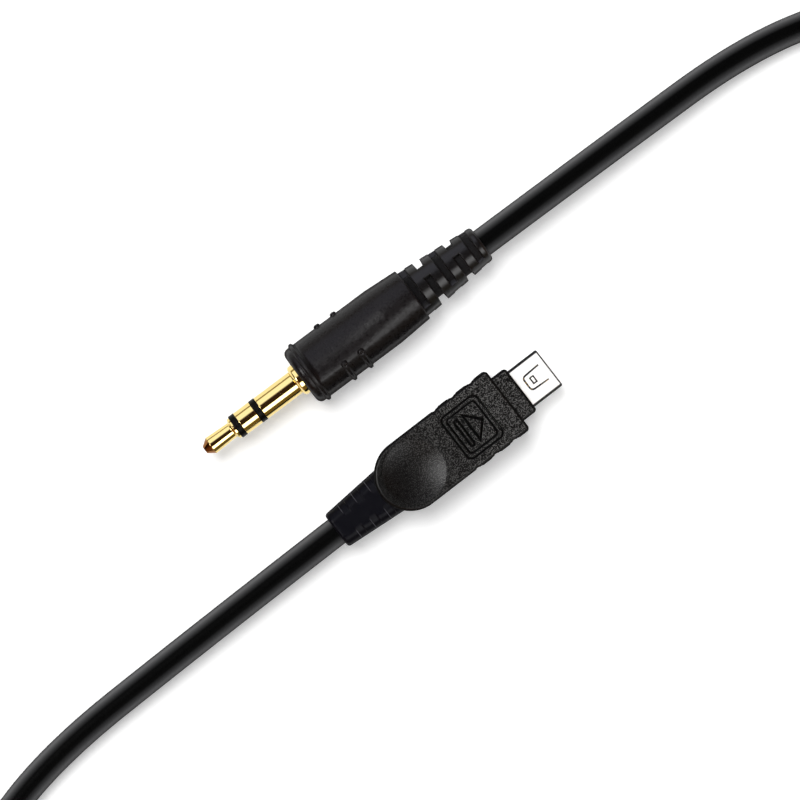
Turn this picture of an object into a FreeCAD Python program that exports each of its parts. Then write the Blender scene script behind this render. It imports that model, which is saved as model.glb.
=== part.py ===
import FreeCAD, Part
import math
import os
import re

import Sketcher

# Cable shutter release: an electronic link cable with a 3.5 mm jack plug at one end and a flat
# camera plug at the other. X and Y lie on the surface that it rests on and Z is up. The origin is
# on that surface, midway between the outermost points of the two plugs. All lengths are in mm.

SIZES = [
    # Where the two plugs lie
    ("jack_tip_across", -24.18, "X of the jack's nose"),
    ("jack_tip_up", -8.59, "Y of the jack's nose"),
    ("jack_heading", 36.8, "direction from the jack's nose back along its axis, degrees from X"),
    ("jack_roll", -28.0, "how far the jack lies rolled about its own axis, degrees"),
    ("plug_mouth_across", 22.62, "X of the camera plug's mouth"),
    ("plug_mouth_up", 2.66, "Y of the camera plug's mouth"),
    ("plug_heading", 217.6, "direction from the mouth back along the camera plug, degrees from X"),
    # Jack pin, from the nose back
    ("nose_diameter", 1.1, "flat end of the nose"),
    ("nose_length", 1.03, "cone of the nose"),
    ("tip_diameter", 2.6, "front of the tip contact"),
    ("tip_waist_diameter", 2.3, "waist where the socket's spring latches"),
    ("tip_length", 3.31, "tip contact from the cone to the waist"),
    ("waist_length", 0.26, "straight waist"),
    ("flare_length", 0.25, "flare up from the waist"),
    ("land_diameter", 3.18, "land behind the flare"),
    ("land_length", 0.31, "land behind the flare"),
    ("pin_diameter", 3.5, "standard pin: ring contact, sleeve contact and insulating rings"),
    ("insulator_length", 0.85, "each black insulating ring that shows"),
    ("ring_contact_length", 2.6, "ring contact that shows"),
    ("sleeve_length", 5.94, "sleeve contact that shows, at pin diameter"),
    ("collar_diameter", 4.6, "collar behind the sleeve contact"),
    ("collar_length", 0.87, "collar that shows in front of the barrel"),
    ("collar_bevel", 0.25, "bevelled front edge of the collar"),
    # Jack pin, nested tubes inside
    ("rod_diameter", 0.9, "rod of the tip contact"),
    ("tip_tube_diameter", 1.5, "outside of the tip insulator's tube"),
    ("ring_tube_diameter", 2.1, "outside of the ring contact's tube"),
    ("sleeve_bore_diameter", 2.7, "bore of the sleeve contact"),
    ("anchor_diameter", 4.0, "tail of the sleeve contact inside the barrel"),
    ("anchor_length", 2.73, "tail of the sleeve contact behind the collar"),
    ("anchor_groove_diameter", 3.3, "groove that the inner mould grips"),
    ("anchor_groove_length", 0.8, "groove that the inner mould grips"),
    ("rivet_length", 0.4, "end of the rod beyond the tip tag"),
    # Solder tags and leads of the jack
    ("tag_thickness", 0.3, "solder tags and the washer between them"),
    ("tag_width", 1.1, "arm and leg of a solder tag"),
    ("tag_reach", 2.0, "outer face of each tag's leg from the axis"),
    ("washer_diameter", 3.1, "rear washer and the ring tag's eye"),
    ("tip_eye_diameter", 2.3, "tip tag's eye"),
    ("leg_end", 4.0, "legs of the tags beyond the tip tag"),
    ("lead_diameter", 1.1, "insulated lead"),
    ("lead_circle", 1.1, "leads from the cable's axis"),
    ("lead_gap", 0.05, "solder between a lead and its contact"),
    ("lead_lap", 2.3, "length over which a lead lies on its tag"),
    ("solder_diameter", 1.5, "solder joint on a jack tag"),
    ("solder_length", 1.3, "solder joint on a jack tag"),
    # Jack barrel
    ("barrel_diameter", 8.66, "barrel over its front two thirds"),
    ("barrel_rear_diameter", 8.0, "barrel at its rear edge"),
    ("barrel_length", 19.0, "barrel"),
    ("barrel_straight", 14.0, "barrel before it tapers"),
    ("barrel_round", 0.85, "rounded front edge"),
    ("barrel_wall", 1.0, "front wall round the collar"),
    ("barrel_bore", 6.4, "inside of the barrel"),
    ("rib_width", 0.7, "raised grip ribs at their foot"),
    ("rib_crest", 0.3, "flat crest of the ribs"),
    ("rib_height", 0.33, "ribs above the barrel"),
    ("front_rib_place", 1.5, "front rib from the barrel's front"),
    ("second_rib_place", 5.95, "second rib from the barrel's front"),
    ("third_rib_place", 8.7, "third rib from the barrel's front"),
    ("bead_diameter", 0.9, "round bead at each rib's end"),
    ("crown_half_angle", 57.0, "half angle of the smooth top face, degrees"),
    ("crown_radius", 5.2, "curve of the smooth top face"),
    ("crown_front", 1.95, "front of the top face from the barrel's front"),
    ("crown_straight", 9.0, "top face before it runs out"),
    ("crown_runout", 5.5, "length over which the top face runs out"),
    # Jack strain relief
    ("relief_front_diameter", 7.3, "strain relief behind the barrel"),
    ("relief_rear_diameter", 5.35, "strain relief at its rear"),
    ("relief_length", 11.7, "strain relief that shows"),
    ("relief_round", 0.45, "rounded rear edge"),
    ("relief_core_diameter", 4.8, "floor of the slots"),
    ("spigot_length", 2.07, "part of the strain relief inside the barrel"),
    ("slot_width", 1.03, "slots of the strain relief"),
    ("face_slot_place", 0.6, "first face slot from the barrel"),
    ("side_slot_place", 3.0, "first side slot from the barrel"),
    ("slot_pitch", 4.8, "from one slot to the next of its own family"),
    ("face_slot_span", 144.0, "each face slot, degrees"),
    ("side_slot_span", 150.0, "each side slot, degrees"),
    # Camera plug: metal shell and latch
    ("shell_width", 6.1, "drawn metal shell"),
    ("shell_height", 2.7, "drawn metal shell"),
    ("shell_wall", 0.3, "sheet of the shell"),
    ("shell_round", 0.5, "outer corners of the shell"),
    ("shell_shows", 4.85, "shell in front of the housing's neck"),
    ("shell_length", 11.0, "whole shell"),
    ("latch_root", 1.0, "root line of the latch tongue from the mouth"),
    ("latch_length", 2.74, "latch tongue from its root to its free end"),
    ("latch_root_width", 2.3, "latch tongue at its root"),
    ("latch_end_width", 2.0, "latch tongue at its free end"),
    ("latch_round", 0.45, "corners of the free end"),
    ("latch_slit", 0.13, "slit round the latch tongue"),
    ("latch_root_gap", 0.04, "gap at the root line, where the metal bends"),
    ("catch_length", 0.66, "raised catch on the tongue"),
    ("catch_width", 1.05, "raised catch on the tongue"),
    ("catch_height", 0.22, "raised catch on the tongue"),
    ("catch_place", 2.41, "front edge of the catch from the mouth"),
    # Camera plug: contacts
    ("carrier_front", 4.3, "front of the contact carrier's block from the mouth"),
    ("carrier_flange", 1.4, "flange of the carrier behind the shell"),
    ("blade_front", 0.8, "front edge of the carrier's blade from the mouth"),
    ("blade_width", 4.6, "carrier's blade"),
    ("blade_thickness", 0.75, "carrier's blade"),
    ("contact_width", 0.3, "contacts"),
    ("contact_thickness", 0.15, "contacts"),
    ("contact_pitch", 0.55, "from one contact to the next"),
    ("contact_inset", 0.3, "contacts behind the blade's front edge"),
    ("contact_proud", 0.03, "contacts above the blade"),
    ("tail_short", 0.2, "unused contacts beyond the flange"),
    ("tail_long", 1.8, "soldered contacts beyond the flange"),
    ("joint_diameter", 1.1, "solder joint on a contact"),
    ("joint_inset", 0.3, "solder joint from the lead's end and from the tail's end"),
    # Camera plug: housing
    ("neck_length", 2.33, "neck round the shell"),
    ("neck_width", 7.26, "neck"),
    ("neck_height", 4.4, "neck"),
    ("neck_round", 0.5, "front corners of the neck"),
    ("housing_width", 9.9, "housing"),
    ("housing_height", 7.2, "both covers together"),
    ("housing_length", 21.6, "housing from its shoulder to its round rear"),
    ("housing_round", 0.45, "shoulder corners and outer edges"),
    ("cavity_width", 7.3, "room for the inner mould"),
    ("cavity_height", 5.0, "room for the inner mould"),
    ("cavity_front", 8.6, "front of the cavity from the mouth"),
    ("cavity_rear", 22.4, "rear of the cavity from the mouth"),
    ("grip_pitch", 3.1, "from one grip hollow to the next"),
    ("hollow_place", 2.65, "first grip hollow behind the shoulder"),
    ("hollow_diameter", 1.3, "grip hollows"),
    ("hollow_depth", 0.18, "grip hollows"),
    ("lobe_place", 1.1, "first grip lobe behind the shoulder"),
    ("lobe_length", 2.0, "grip lobes"),
    ("lobe_height", 0.14, "grip lobes"),
    ("lobe_margin", 0.5, "grip lobes end short of the outer face"),
    ("dish_radius", 4.4, "rim of the thumb dish"),
    ("dish_depth", 0.6, "thumb dish"),
    ("dish_place", 16.0, "centre of the thumb dish behind the shoulder"),
    ("panel_place", 3.1, "front edge of the arrow panel behind the shoulder"),
    ("panel_length", 6.1, "arrow panel along the plug"),
    ("panel_width", 7.05, "arrow panel across the plug"),
    ("panel_depth", 0.2, "rim step of the arrow panel"),
    ("panel_round", 0.85, "corners of the arrow panel"),
    ("panel_rim", 0.62, "rim round the field"),
    ("field_depth", 0.2, "field below the rim step"),
    ("mark_height", 0.3, "raised arrow and bar"),
    ("bar_place", 7.01, "front edge of the bar behind the shoulder"),
    ("bar_length", 4.3, "bar across the plug"),
    ("bar_width", 0.82, "bar along the plug"),
    ("bar_end_round", 0.37, "rounded ends of the bar"),
    ("arrow_place", 4.27, "point of the arrow behind the shoulder"),
    ("arrow_length", 1.98, "arrow along the plug"),
    ("arrow_width", 4.25, "arrow across the plug"),
    ("peg_diameter", 0.7, "locating pegs of the bottom cover"),
    ("peg_length", 0.8, "locating pegs"),
    ("peg_clearance", 0.05, "gap round and beyond a peg"),
    ("peg_inset", 0.75, "pegs in from the housing's side"),
    ("front_peg_place", 2.9, "front pegs behind the shoulder"),
    ("rear_peg_place", 14.2, "rear pegs behind the shoulder"),
    # Camera plug: strain relief and cable end
    ("boot_front_width", 7.0, "strain relief at its seat in the housing"),
    ("boot_front_height", 5.4, "strain relief at its seat"),
    ("boot_rear_width", 5.4, "strain relief at its rear"),
    ("boot_rear_height", 5.2, "strain relief at its rear"),
    ("boot_front", 26.2, "front of the tapered part from the mouth"),
    ("boot_rear", 36.48, "rear of the strain relief from the mouth"),
    ("boot_round", 1.6, "long edges"),
    ("boot_end_round", 0.4, "rear edge"),
    ("spigot_width", 5.6, "spigot of the strain relief in the housing"),
    ("spigot_height", 4.4, "spigot of the strain relief in the housing"),
    ("boot_slot_width", 1.05, "slots across the strain relief"),
    ("boot_slot_span", 4.3, "slots across the strain relief"),
    ("boot_slot_depth", 0.42, "slots across the strain relief"),
    ("boot_slot_place", 1.86, "last slot from the rear end"),
    ("boot_slot_pitch", 2.45, "from one slot to the next"),
    ("ferrule_wall", 0.3, "crimped ferrule round the cable"),
    ("ferrule_length", 2.2, "crimped ferrule"),
    ("ferrule_slit", 0.5, "open seam of the ferrule"),
    ("ferrule_place", 0.6, "ferrule behind the cable's end"),
    # Cable
    ("cable_diameter", 4.0, "cable"),
    ("jack_cable_end", 31.0, "end of the cable from the jack's nose"),
    ("plug_cable_end", 19.0, "end of the cable from the camera plug's mouth"),
    ("jack_cable_straight", 31.5, "first run of the cable, straight through the jack's strain relief"),
    ("plug_cable_straight", 33.0, "last run of the cable, straight through the camera plug's boot"),
]

# Route of the cable over the surface: X, Y and height of the axis at each corner, in mm. The two
# points at each end, inside a plug and straight behind it, are worked out from the plug's own place.
CABLE_ROUTE = [
    (56.5, 51.3, 2.0),
    (80.0, 52.0, 2.0),
    (95.5, 35.5, 2.0),
    (97.0, 5.0, 2.0),
    (91.0, -30.5, 2.0),
    (76.5, -62.0, 2.0),
    (52.5, -85.5, 2.0),
    (18.0, -98.5, 2.0),
    (-17.5, -102.0, 2.0),
    (-42.0, -96.5, 2.0),
    (-57.5, -80.5, 2.0),
    (-54.0, -57.4, 2.0),
]
RUN_SHARE = 0.45
CONTACT_COUNT = 8
GRIP_COUNT = 3
BOOT_SLOT_COUNT = 3
FACE_SLOT_COUNT = 3
SIDE_SLOT_COUNT = 2

X_AXIS = FreeCAD.Vector(1, 0, 0)
Z_AXIS = FreeCAD.Vector(0, 0, 1)

document = FreeCAD.newDocument("CableShutterRelease")
sheet = document.addObject("Spreadsheet::Sheet", "Sizes")
for row, (alias, number, meaning) in enumerate(SIZES, start=1):
    sheet.set(f"A{row}", meaning)
    sheet.set(f"B{row}", str(number))
    sheet.setAlias(f"B{row}", alias)
document.recompute()

ALIASES = {alias for alias, number, meaning in SIZES}
subparts = []


def bound(expression):
    """The expression with each size name pointed at the sheet."""
    def named(word):
        return "Sizes." + word[0] if word[0] in ALIASES else word[0]
    return re.sub(r"[a-z_]+", named, expression)


def size(expression):
    """The number that an expression in size names has now."""
    return float(sheet.evalExpression(expression))


def placement(across, up, height, heading, roll):
    """Place of a plug: its own X runs from the contacts back to the cable, its own Z is up."""
    turn = FreeCAD.Rotation(Z_AXIS, heading) * FreeCAD.Rotation(X_AXIS, roll)
    return FreeCAD.Placement(FreeCAD.Vector(across, up, height), turn)


JACK = placement(size("jack_tip_across"), size("jack_tip_up"), size("barrel_diameter / 2 + rib_height"),
                 size("jack_heading"), size("jack_roll"))
PLUG = placement(size("plug_mouth_across"), size("plug_mouth_up"), size("housing_height / 2"),
                 size("plug_heading"), 0)


def turned_about_axis(place, angle):
    """The same place, turned about the plug's own axis."""
    return place * FreeCAD.Placement(FreeCAD.Vector(), FreeCAD.Rotation(X_AXIS, angle))


def keep(item, label):
    """Name a finished sub-part and list it for writing."""
    item.Label = label
    subparts.append(item)
    return item


def new_body(name, place):
    """An empty body at its place."""
    body = document.addObject("PartDesign::Body", name)
    body.Placement = place
    return body


def origin_plane(body, role):
    """One of the body's own origin planes."""
    return next(feature for feature in body.Origin.OriginFeatures if feature.Role == role)


def new_sketch(body, role, name):
    """An empty sketch on one of the body's origin planes."""
    sketch = body.newObject("Sketcher::SketchObject", name)
    sketch.AttachmentSupport = [(origin_plane(body, role), "")]
    sketch.MapMode = "FlatFace"
    return sketch


def hold_point(sketch, element, point, across, up):
    """Hold a point of a sketch by its two distances from the origin, bound to the sheet."""
    for kind, expression, axis in (("DistanceX", across, -2), ("DistanceY", up, -1)):
        if expression == "0":
            sketch.addConstraint(Sketcher.Constraint("PointOnObject", element, point, axis))
        else:
            rule = Sketcher.Constraint(kind, -1, 1, element, point, size(expression))
            index = sketch.addConstraint(rule)
            sketch.setExpression(f"Constraints[{index}]", bound(expression))


def add_loop(sketch, corners):
    """Closed outline of straight lines through corners given as pairs of expressions."""
    first = sketch.GeometryCount
    points = [FreeCAD.Vector(size(across), size(up), 0) for across, up in corners]
    for start, end in zip(points, points[1:] + points[:1]):
        sketch.addGeometry(Part.LineSegment(start, end), False)
    for step in range(len(corners)):
        follower = first + (step + 1) % len(corners)
        sketch.addConstraint(Sketcher.Constraint("Coincident", first + step, 2, follower, 1))
    for step, (across, up) in enumerate(corners):
        hold_point(sketch, first + step, 1, across, up)


def add_circle(sketch, across, up, diameter):
    """Circle with its centre and its diameter bound to the sheet."""
    centre = FreeCAD.Vector(size(across), size(up), 0)
    element = sketch.addGeometry(Part.Circle(centre, Z_AXIS, size(diameter) / 2), False)
    if across == "0" and up == "0":
        sketch.addConstraint(Sketcher.Constraint("Coincident", element, 3, -1, 1))
    else:
        hold_point(sketch, element, 3, across, up)
    index = sketch.addConstraint(Sketcher.Constraint("Diameter", element, size(diameter)))
    sketch.setExpression(f"Constraints[{index}]", bound(diameter))


def extrude(body, kind, name, sketch, length, backwards=False):
    """Pad or pocket of a sketch, its length bound to the sheet."""
    feature = body.newObject(kind, name)
    feature.Profile = (sketch, [""])
    feature.setExpression("Length", bound(length))
    feature.Reversed = backwards
    sketch.Visibility = False
    return feature


def revolve(body, kind, name, sketch, angle="360"):
    """Turned feature about the sketch's own X axis, half of the angle to each side."""
    feature = body.newObject(kind, name)
    feature.Profile = (sketch, [""])
    feature.ReferenceAxis = (sketch, ["H_Axis"])
    feature.Midplane = True
    feature.setExpression("Angle", bound(angle))
    return feature


def block(body, kind, name, low, extent):
    """Box feature from its low corner and its three lengths, all bound to the sheet."""
    feature = body.newObject(kind, name)
    for side, expression in zip(("Length", "Width", "Height"), extent):
        feature.setExpression(side, bound(expression))
    for letter, expression in zip("xyz", low):
        feature.setExpression("Placement.Base." + letter, bound(expression))
    return feature


def round_edges(body, name, radius, chosen):
    """Fillet on the edges of the body's last feature that the test picks."""
    document.recompute()
    base = body.Tip
    edges = [f"Edge{number}" for number, edge in enumerate(base.Shape.Edges, start=1) if chosen(edge)]
    feature = body.newObject("PartDesign::Fillet", name)
    feature.Base = (base, edges)
    feature.setExpression("Radius", bound(radius))
    return feature


def near(first, second):
    """Whether two lengths agree to a hundredth of a millimetre."""
    return abs(first - second) < 0.01


def circle_at(station, radius):
    """Test for a round edge about the X axis at a station."""
    def chosen(edge):
        box = edge.BoundBox
        at_station = near(box.XMin, station) and near(box.XMax, station)
        return at_station and edge.Curve.TypeId == "Part::GeomCircle" and near(edge.Curve.Radius, radius)
    return chosen


def along_x(low, high):
    """Test for an edge that runs along X within a stretch."""
    def chosen(edge):
        box = edge.BoundBox
        straight = near(box.YLength, 0) and near(box.ZLength, 0)
        within = low < box.XMin + box.XLength / 2 < high
        return straight and within
    return chosen


def pattern(body, kind, name, originals):
    """Empty pattern of features, made the body's last step."""
    feature = body.newObject(kind, name)
    feature.Originals = originals
    body.Tip = feature
    return feature


def turned_part(name, corners, place=JACK):
    """Body turned about the plug's axis from a profile of (along, outward) corners."""
    body = new_body(name, place)
    sketch = new_sketch(body, "XZ_Plane", name + "_profile")
    add_loop(sketch, corners)
    revolve(body, "PartDesign::Revolution", name + "_turned", sketch)
    return body


def cut_part(name, base, tools):
    """What is left of a solid after others are cut from it, one after another."""
    result = base
    for step, tool in enumerate(tools, start=1):
        cut = document.addObject("Part::Cut", f"{name}_{step}")
        cut.Base = result
        cut.Tool = tool
        result = cut
    return result


def group(name, items):
    """Several like solids kept together as one sub-part."""
    result = document.addObject("Part::Compound", name)
    result.Links = items
    return result


def cylinder(name, place, start, length, diameter, across="0", up="0"):
    """Round bar along the plug's X, from a start station, off its axis where it is told so."""
    bar = document.addObject("Part::Cylinder", name)
    bar.setExpression("Radius", bound(f"({diameter}) / 2"))
    bar.setExpression("Height", bound(length))
    offset = FreeCAD.Vector(size(start), size(across), size(up))
    bar.Placement = place * FreeCAD.Placement(offset, FreeCAD.Rotation(Z_AXIS, X_AXIS))
    return bar


def rounded_path(points):
    """Straight runs joined by tangent arcs as large as the two runs of each corner allow."""
    edges = []
    radii = []
    start = points[0]
    for before, corner, after in zip(points, points[1:], points[2:]):
        back = (before - corner)
        ahead = (after - corner)
        half_turn = (math.pi - back.getAngle(ahead)) / 2
        reach = RUN_SHARE * min(back.Length, ahead.Length)
        radius = reach / math.tan(half_turn)
        back.normalize()
        ahead.normalize()
        entry = corner + back * reach
        leave = corner + ahead * reach
        inward = back + ahead
        inward.normalize()
        middle = corner + inward * (radius / math.cos(half_turn) - radius)
        edges.append(Part.LineSegment(start, entry).toShape())
        edges.append(Part.Arc(entry, middle, leave).toShape())
        radii.append(radius)
        start = leave
    edges.append(Part.LineSegment(start, points[-1]).toShape())
    return Part.Wire(edges), radii


def tube(name, points, diameter):
    """Solid round tube along a rounded path, as a feature with its shape set here."""
    path, radii = rounded_path(points)
    direction = points[1] - points[0]
    rim = Part.Wire(Part.Circle(points[0], direction, diameter / 2).toShape())
    solid = path.makePipeShell([rim], True, False)
    expected = math.pi * diameter ** 2 / 4 * path.Length
    if abs(solid.Volume - expected) > 0.01 * expected:
        raise RuntimeError(f"{name}: the tube's volume differs from its section times its length")
    feature = document.addObject("Part::Feature", name)
    feature.Shape = solid
    feature.Placement = FreeCAD.Placement()
    return feature, path.Length, radii


# Stations along the jack, from its nose
TIP_FRONT = "nose_length"
WAIST = "(nose_length + tip_length)"
FLARE = f"({WAIST} + waist_length)"
LAND = f"({FLARE} + flare_length)"
TIP_END = f"({LAND} + land_length)"
RING_FRONT = f"({TIP_END} + insulator_length)"
RING_END = f"({RING_FRONT} + ring_contact_length)"
SLEEVE_FRONT = f"({RING_END} + insulator_length)"
COLLAR = f"({SLEEVE_FRONT} + sleeve_length)"
BARREL = f"({COLLAR} + collar_length)"
CORE = f"({BARREL} + barrel_wall)"
ANCHOR_END = f"({CORE} + anchor_length)"
WASHER = f"({ANCHOR_END} + tag_thickness)"
RING_TAG = f"({WASHER} + tag_thickness)"
TIP_SPACER = f"({RING_TAG} + tag_thickness)"
TIP_TAG = f"({TIP_SPACER} + tag_thickness)"
ROD_END = f"({TIP_TAG} + tag_thickness + rivet_length)"
LEG_END = f"({TIP_TAG} + leg_end)"
BARREL_REAR = f"({BARREL} + barrel_length)"
RELIEF_REAR = f"({BARREL_REAR} + relief_length)"
SPIGOT = f"({BARREL_REAR} - spigot_length)"

# Contacts and insulators of the jack: four tubes nested on one rod, each with the ring that shows
tip_contact = keep(turned_part("tip_contact", [
    ("0", "0"),
    ("0", "nose_diameter / 2"),
    (TIP_FRONT, "tip_diameter / 2"),
    (WAIST, "tip_waist_diameter / 2"),
    (FLARE, "tip_waist_diameter / 2"),
    (LAND, "land_diameter / 2"),
    (TIP_END, "land_diameter / 2"),
    (TIP_END, "rod_diameter / 2"),
    (ROD_END, "rod_diameter / 2"),
    (ROD_END, "0"),
]), "jack_tip_contact")
tip_insulator = keep(turned_part("tip_insulator", [
    (TIP_END, "rod_diameter / 2"),
    (TIP_END, "pin_diameter / 2"),
    (RING_FRONT, "pin_diameter / 2"),
    (RING_FRONT, "tip_tube_diameter / 2"),
    (TIP_TAG, "tip_tube_diameter / 2"),
    (TIP_TAG, "rod_diameter / 2"),
]), "jack_tip_insulator")
ring_contact = keep(turned_part("ring_contact", [
    (RING_FRONT, "tip_tube_diameter / 2"),
    (RING_FRONT, "pin_diameter / 2"),
    (RING_END, "pin_diameter / 2"),
    (RING_END, "ring_tube_diameter / 2"),
    (TIP_SPACER, "ring_tube_diameter / 2"),
    (TIP_SPACER, "tip_tube_diameter / 2"),
]), "jack_ring_contact")
ring_insulator = keep(turned_part("ring_insulator", [
    (RING_END, "ring_tube_diameter / 2"),
    (RING_END, "pin_diameter / 2"),
    (SLEEVE_FRONT, "pin_diameter / 2"),
    (SLEEVE_FRONT, "sleeve_bore_diameter / 2"),
    (RING_TAG, "sleeve_bore_diameter / 2"),
    (RING_TAG, "ring_tube_diameter / 2"),
]), "jack_ring_insulator")
GROOVE_FRONT = f"({CORE} + (anchor_length - anchor_groove_length) / 2)"
sleeve_contact = turned_part("sleeve_contact", [
    (SLEEVE_FRONT, "sleeve_bore_diameter / 2"),
    (SLEEVE_FRONT, "pin_diameter / 2"),
    (COLLAR, "pin_diameter / 2"),
    (COLLAR, "collar_diameter / 2 - collar_bevel"),
    (f"{COLLAR} + collar_bevel", "collar_diameter / 2"),
    (CORE, "collar_diameter / 2"),
    (CORE, "anchor_diameter / 2"),
    (GROOVE_FRONT, "anchor_diameter / 2"),
    (GROOVE_FRONT, "anchor_groove_diameter / 2"),
    (f"{GROOVE_FRONT} + anchor_groove_length", "anchor_groove_diameter / 2"),
    (f"{GROOVE_FRONT} + anchor_groove_length", "anchor_diameter / 2"),
    (ANCHOR_END, "anchor_diameter / 2"),
    (ANCHOR_END, "sleeve_bore_diameter / 2"),
])
keep(sleeve_contact, "jack_sleeve_contact")
rear_washer = keep(turned_part("rear_washer", [
    (WASHER, "sleeve_bore_diameter / 2"),
    (WASHER, "washer_diameter / 2"),
    (RING_TAG, "washer_diameter / 2"),
    (RING_TAG, "sleeve_bore_diameter / 2"),
]), "jack_rear_washer")


def solder_tag(name, station, eye, hole, angle):
    """Stamped tag: an eye on its tube, an arm outwards and a leg bent back for the lead."""
    body = new_body(name, turned_about_axis(JACK, angle))
    sketch = new_sketch(body, "YZ_Plane", name + "_eye")
    sketch.AttachmentOffset = FreeCAD.Placement(FreeCAD.Vector(0, 0, size(station)), FreeCAD.Rotation())
    add_circle(sketch, "0", "0", eye)
    extrude(body, "PartDesign::Pad", name + "_eye_pad", sketch, "tag_thickness")
    block(body, "PartDesign::AdditiveBox", name + "_arm", (station, "-tag_width / 2", "0"),
          ("tag_thickness", "tag_width", "tag_reach"))
    block(body, "PartDesign::AdditiveBox", name + "_leg",
          (station, "-tag_width / 2", "tag_reach - tag_thickness"),
          (f"{LEG_END} - {station}", "tag_width", "tag_thickness"))
    bore = body.newObject("PartDesign::SubtractiveCylinder", name + "_hole")
    bore.setExpression("Radius", bound(f"({hole}) / 2"))
    bore.setExpression("Height", bound("3 * tag_thickness"))
    bore.Placement = FreeCAD.Placement(FreeCAD.Vector(size(f"{station} - tag_thickness"), 0, 0),
                                       FreeCAD.Rotation(Z_AXIS, X_AXIS))
    return body


TAG_ANGLES = {"sleeve": 90, "ring": 210, "tip": 330}
sleeve_tag = keep(solder_tag("sleeve_tag", ANCHOR_END, "anchor_diameter", "sleeve_bore_diameter",
                             TAG_ANGLES["sleeve"]), "jack_sleeve_tag")
ring_tag = keep(solder_tag("ring_tag", RING_TAG, "washer_diameter", "ring_tube_diameter",
                           TAG_ANGLES["ring"]), "jack_ring_tag")
tip_tag = keep(solder_tag("tip_tag", TIP_TAG, "tip_eye_diameter", "rod_diameter",
                          TAG_ANGLES["tip"]), "jack_tip_tag")

# Leads of the jack: each lies under the leg of its tag and runs straight to the cable's end
LEAD_NAMES = {
    "sleeve": "jack_ground_lead",
    "ring": "jack_focus_lead",
    "tip": "jack_shutter_lead",
}
jack_leads = []
jack_joints = []
for tag, (key, angle) in zip((sleeve_tag, ring_tag, tip_tag), TAG_ANGLES.items()):
    turned = turned_about_axis(JACK, angle)
    lead = keep(cylinder(key + "_lead", turned, f"{LEG_END} - lead_lap",
                         f"jack_cable_end - {LEG_END} + lead_lap", "lead_diameter", up="lead_circle"),
                LEAD_NAMES[key])
    drop = cylinder(key + "_drop", turned, f"{LEG_END} - (lead_lap + solder_length) / 2", "solder_length",
                    "solder_diameter", up="tag_reach - tag_thickness")
    joint = cut_part(key + "_joint", drop, [tag, lead])
    jack_leads.append(lead)
    jack_joints.append(joint)
keep(group("jack_solder", jack_joints), "jack_solder_joints")

# Inner mould of the jack, cast round the tags, the leads and the cable's end
jack_mould_blank = cylinder("jack_mould_blank", JACK, CORE, f"{SPIGOT} - {CORE}", "barrel_bore")
jack_cable_seat = cylinder("jack_cable_seat", JACK, "jack_cable_end", f"{RELIEF_REAR} - jack_cable_end",
                           "cable_diameter")
keep(cut_part("jack_mould", jack_mould_blank, [
    tip_contact, tip_insulator, ring_contact, ring_insulator, sleeve_contact, rear_washer,
    sleeve_tag, ring_tag, tip_tag, *jack_leads, *jack_joints, jack_cable_seat,
]), "jack_core_mould")

# Barrel of the jack: a turned tube with grip ribs that stop at a smooth, flatter top face
barrel = turned_part("barrel", [
    (BARREL, "collar_diameter / 2"),
    (BARREL, "barrel_diameter / 2"),
    (f"{BARREL} + barrel_straight", "barrel_diameter / 2"),
    (BARREL_REAR, "barrel_rear_diameter / 2"),
    (BARREL_REAR, "barrel_bore / 2"),
    (CORE, "barrel_bore / 2"),
    (CORE, "collar_diameter / 2"),
])
round_edges(barrel, "barrel_edge", "barrel_round", circle_at(size(BARREL), size("barrel_diameter / 2")))


def rib_loop(sketch, station):
    """Bevelled section of a rib, sunk into the barrel's wall."""
    foot = "-barrel_diameter / 2"
    add_loop(sketch, [
        (f"{station} - rib_width / 2", f"{foot} + rib_height"),
        (f"{station} + rib_width / 2", f"{foot} + rib_height"),
        (f"{station} + rib_width / 2", foot),
        (f"{station} + rib_crest / 2", f"{foot} - rib_height"),
        (f"{station} - rib_crest / 2", f"{foot} - rib_height"),
        (f"{station} - rib_width / 2", foot),
    ])


front_rib = new_sketch(barrel, "XZ_Plane", "front_rib_profile")
rib_loop(front_rib, f"{BARREL} + front_rib_place")
revolve(barrel, "PartDesign::Revolution", "front_rib", front_rib)
short_ribs = new_sketch(barrel, "XZ_Plane", "short_rib_profiles")
for rib_place in ("second_rib_place", "third_rib_place"):
    rib_loop(short_ribs, f"{BARREL} + {rib_place}")
revolve(barrel, "PartDesign::Revolution", "short_ribs", short_ribs, "360 - 2 * crown_half_angle")
for rib_place in ("second_rib_place", "third_rib_place"):
    for side in (-1, 1):
        bead = barrel.newObject("PartDesign::AdditiveCone", f"bead_{rib_place}_{side + 1}")
        bead.setExpression("Radius1", bound("bead_diameter / 2"))
        bead.setExpression("Radius2", bound("bead_diameter / 4"))
        bead.setExpression("Height", bound("2 * rib_height"))
        tilt = FreeCAD.Rotation(X_AXIS, side * size("crown_half_angle"))
        foot = FreeCAD.Vector(size(f"{BARREL} + {rib_place}"), 0, size("barrel_diameter / 2 - rib_height"))
        bead.Placement = FreeCAD.Placement(tilt.multVec(foot), tilt)

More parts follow.
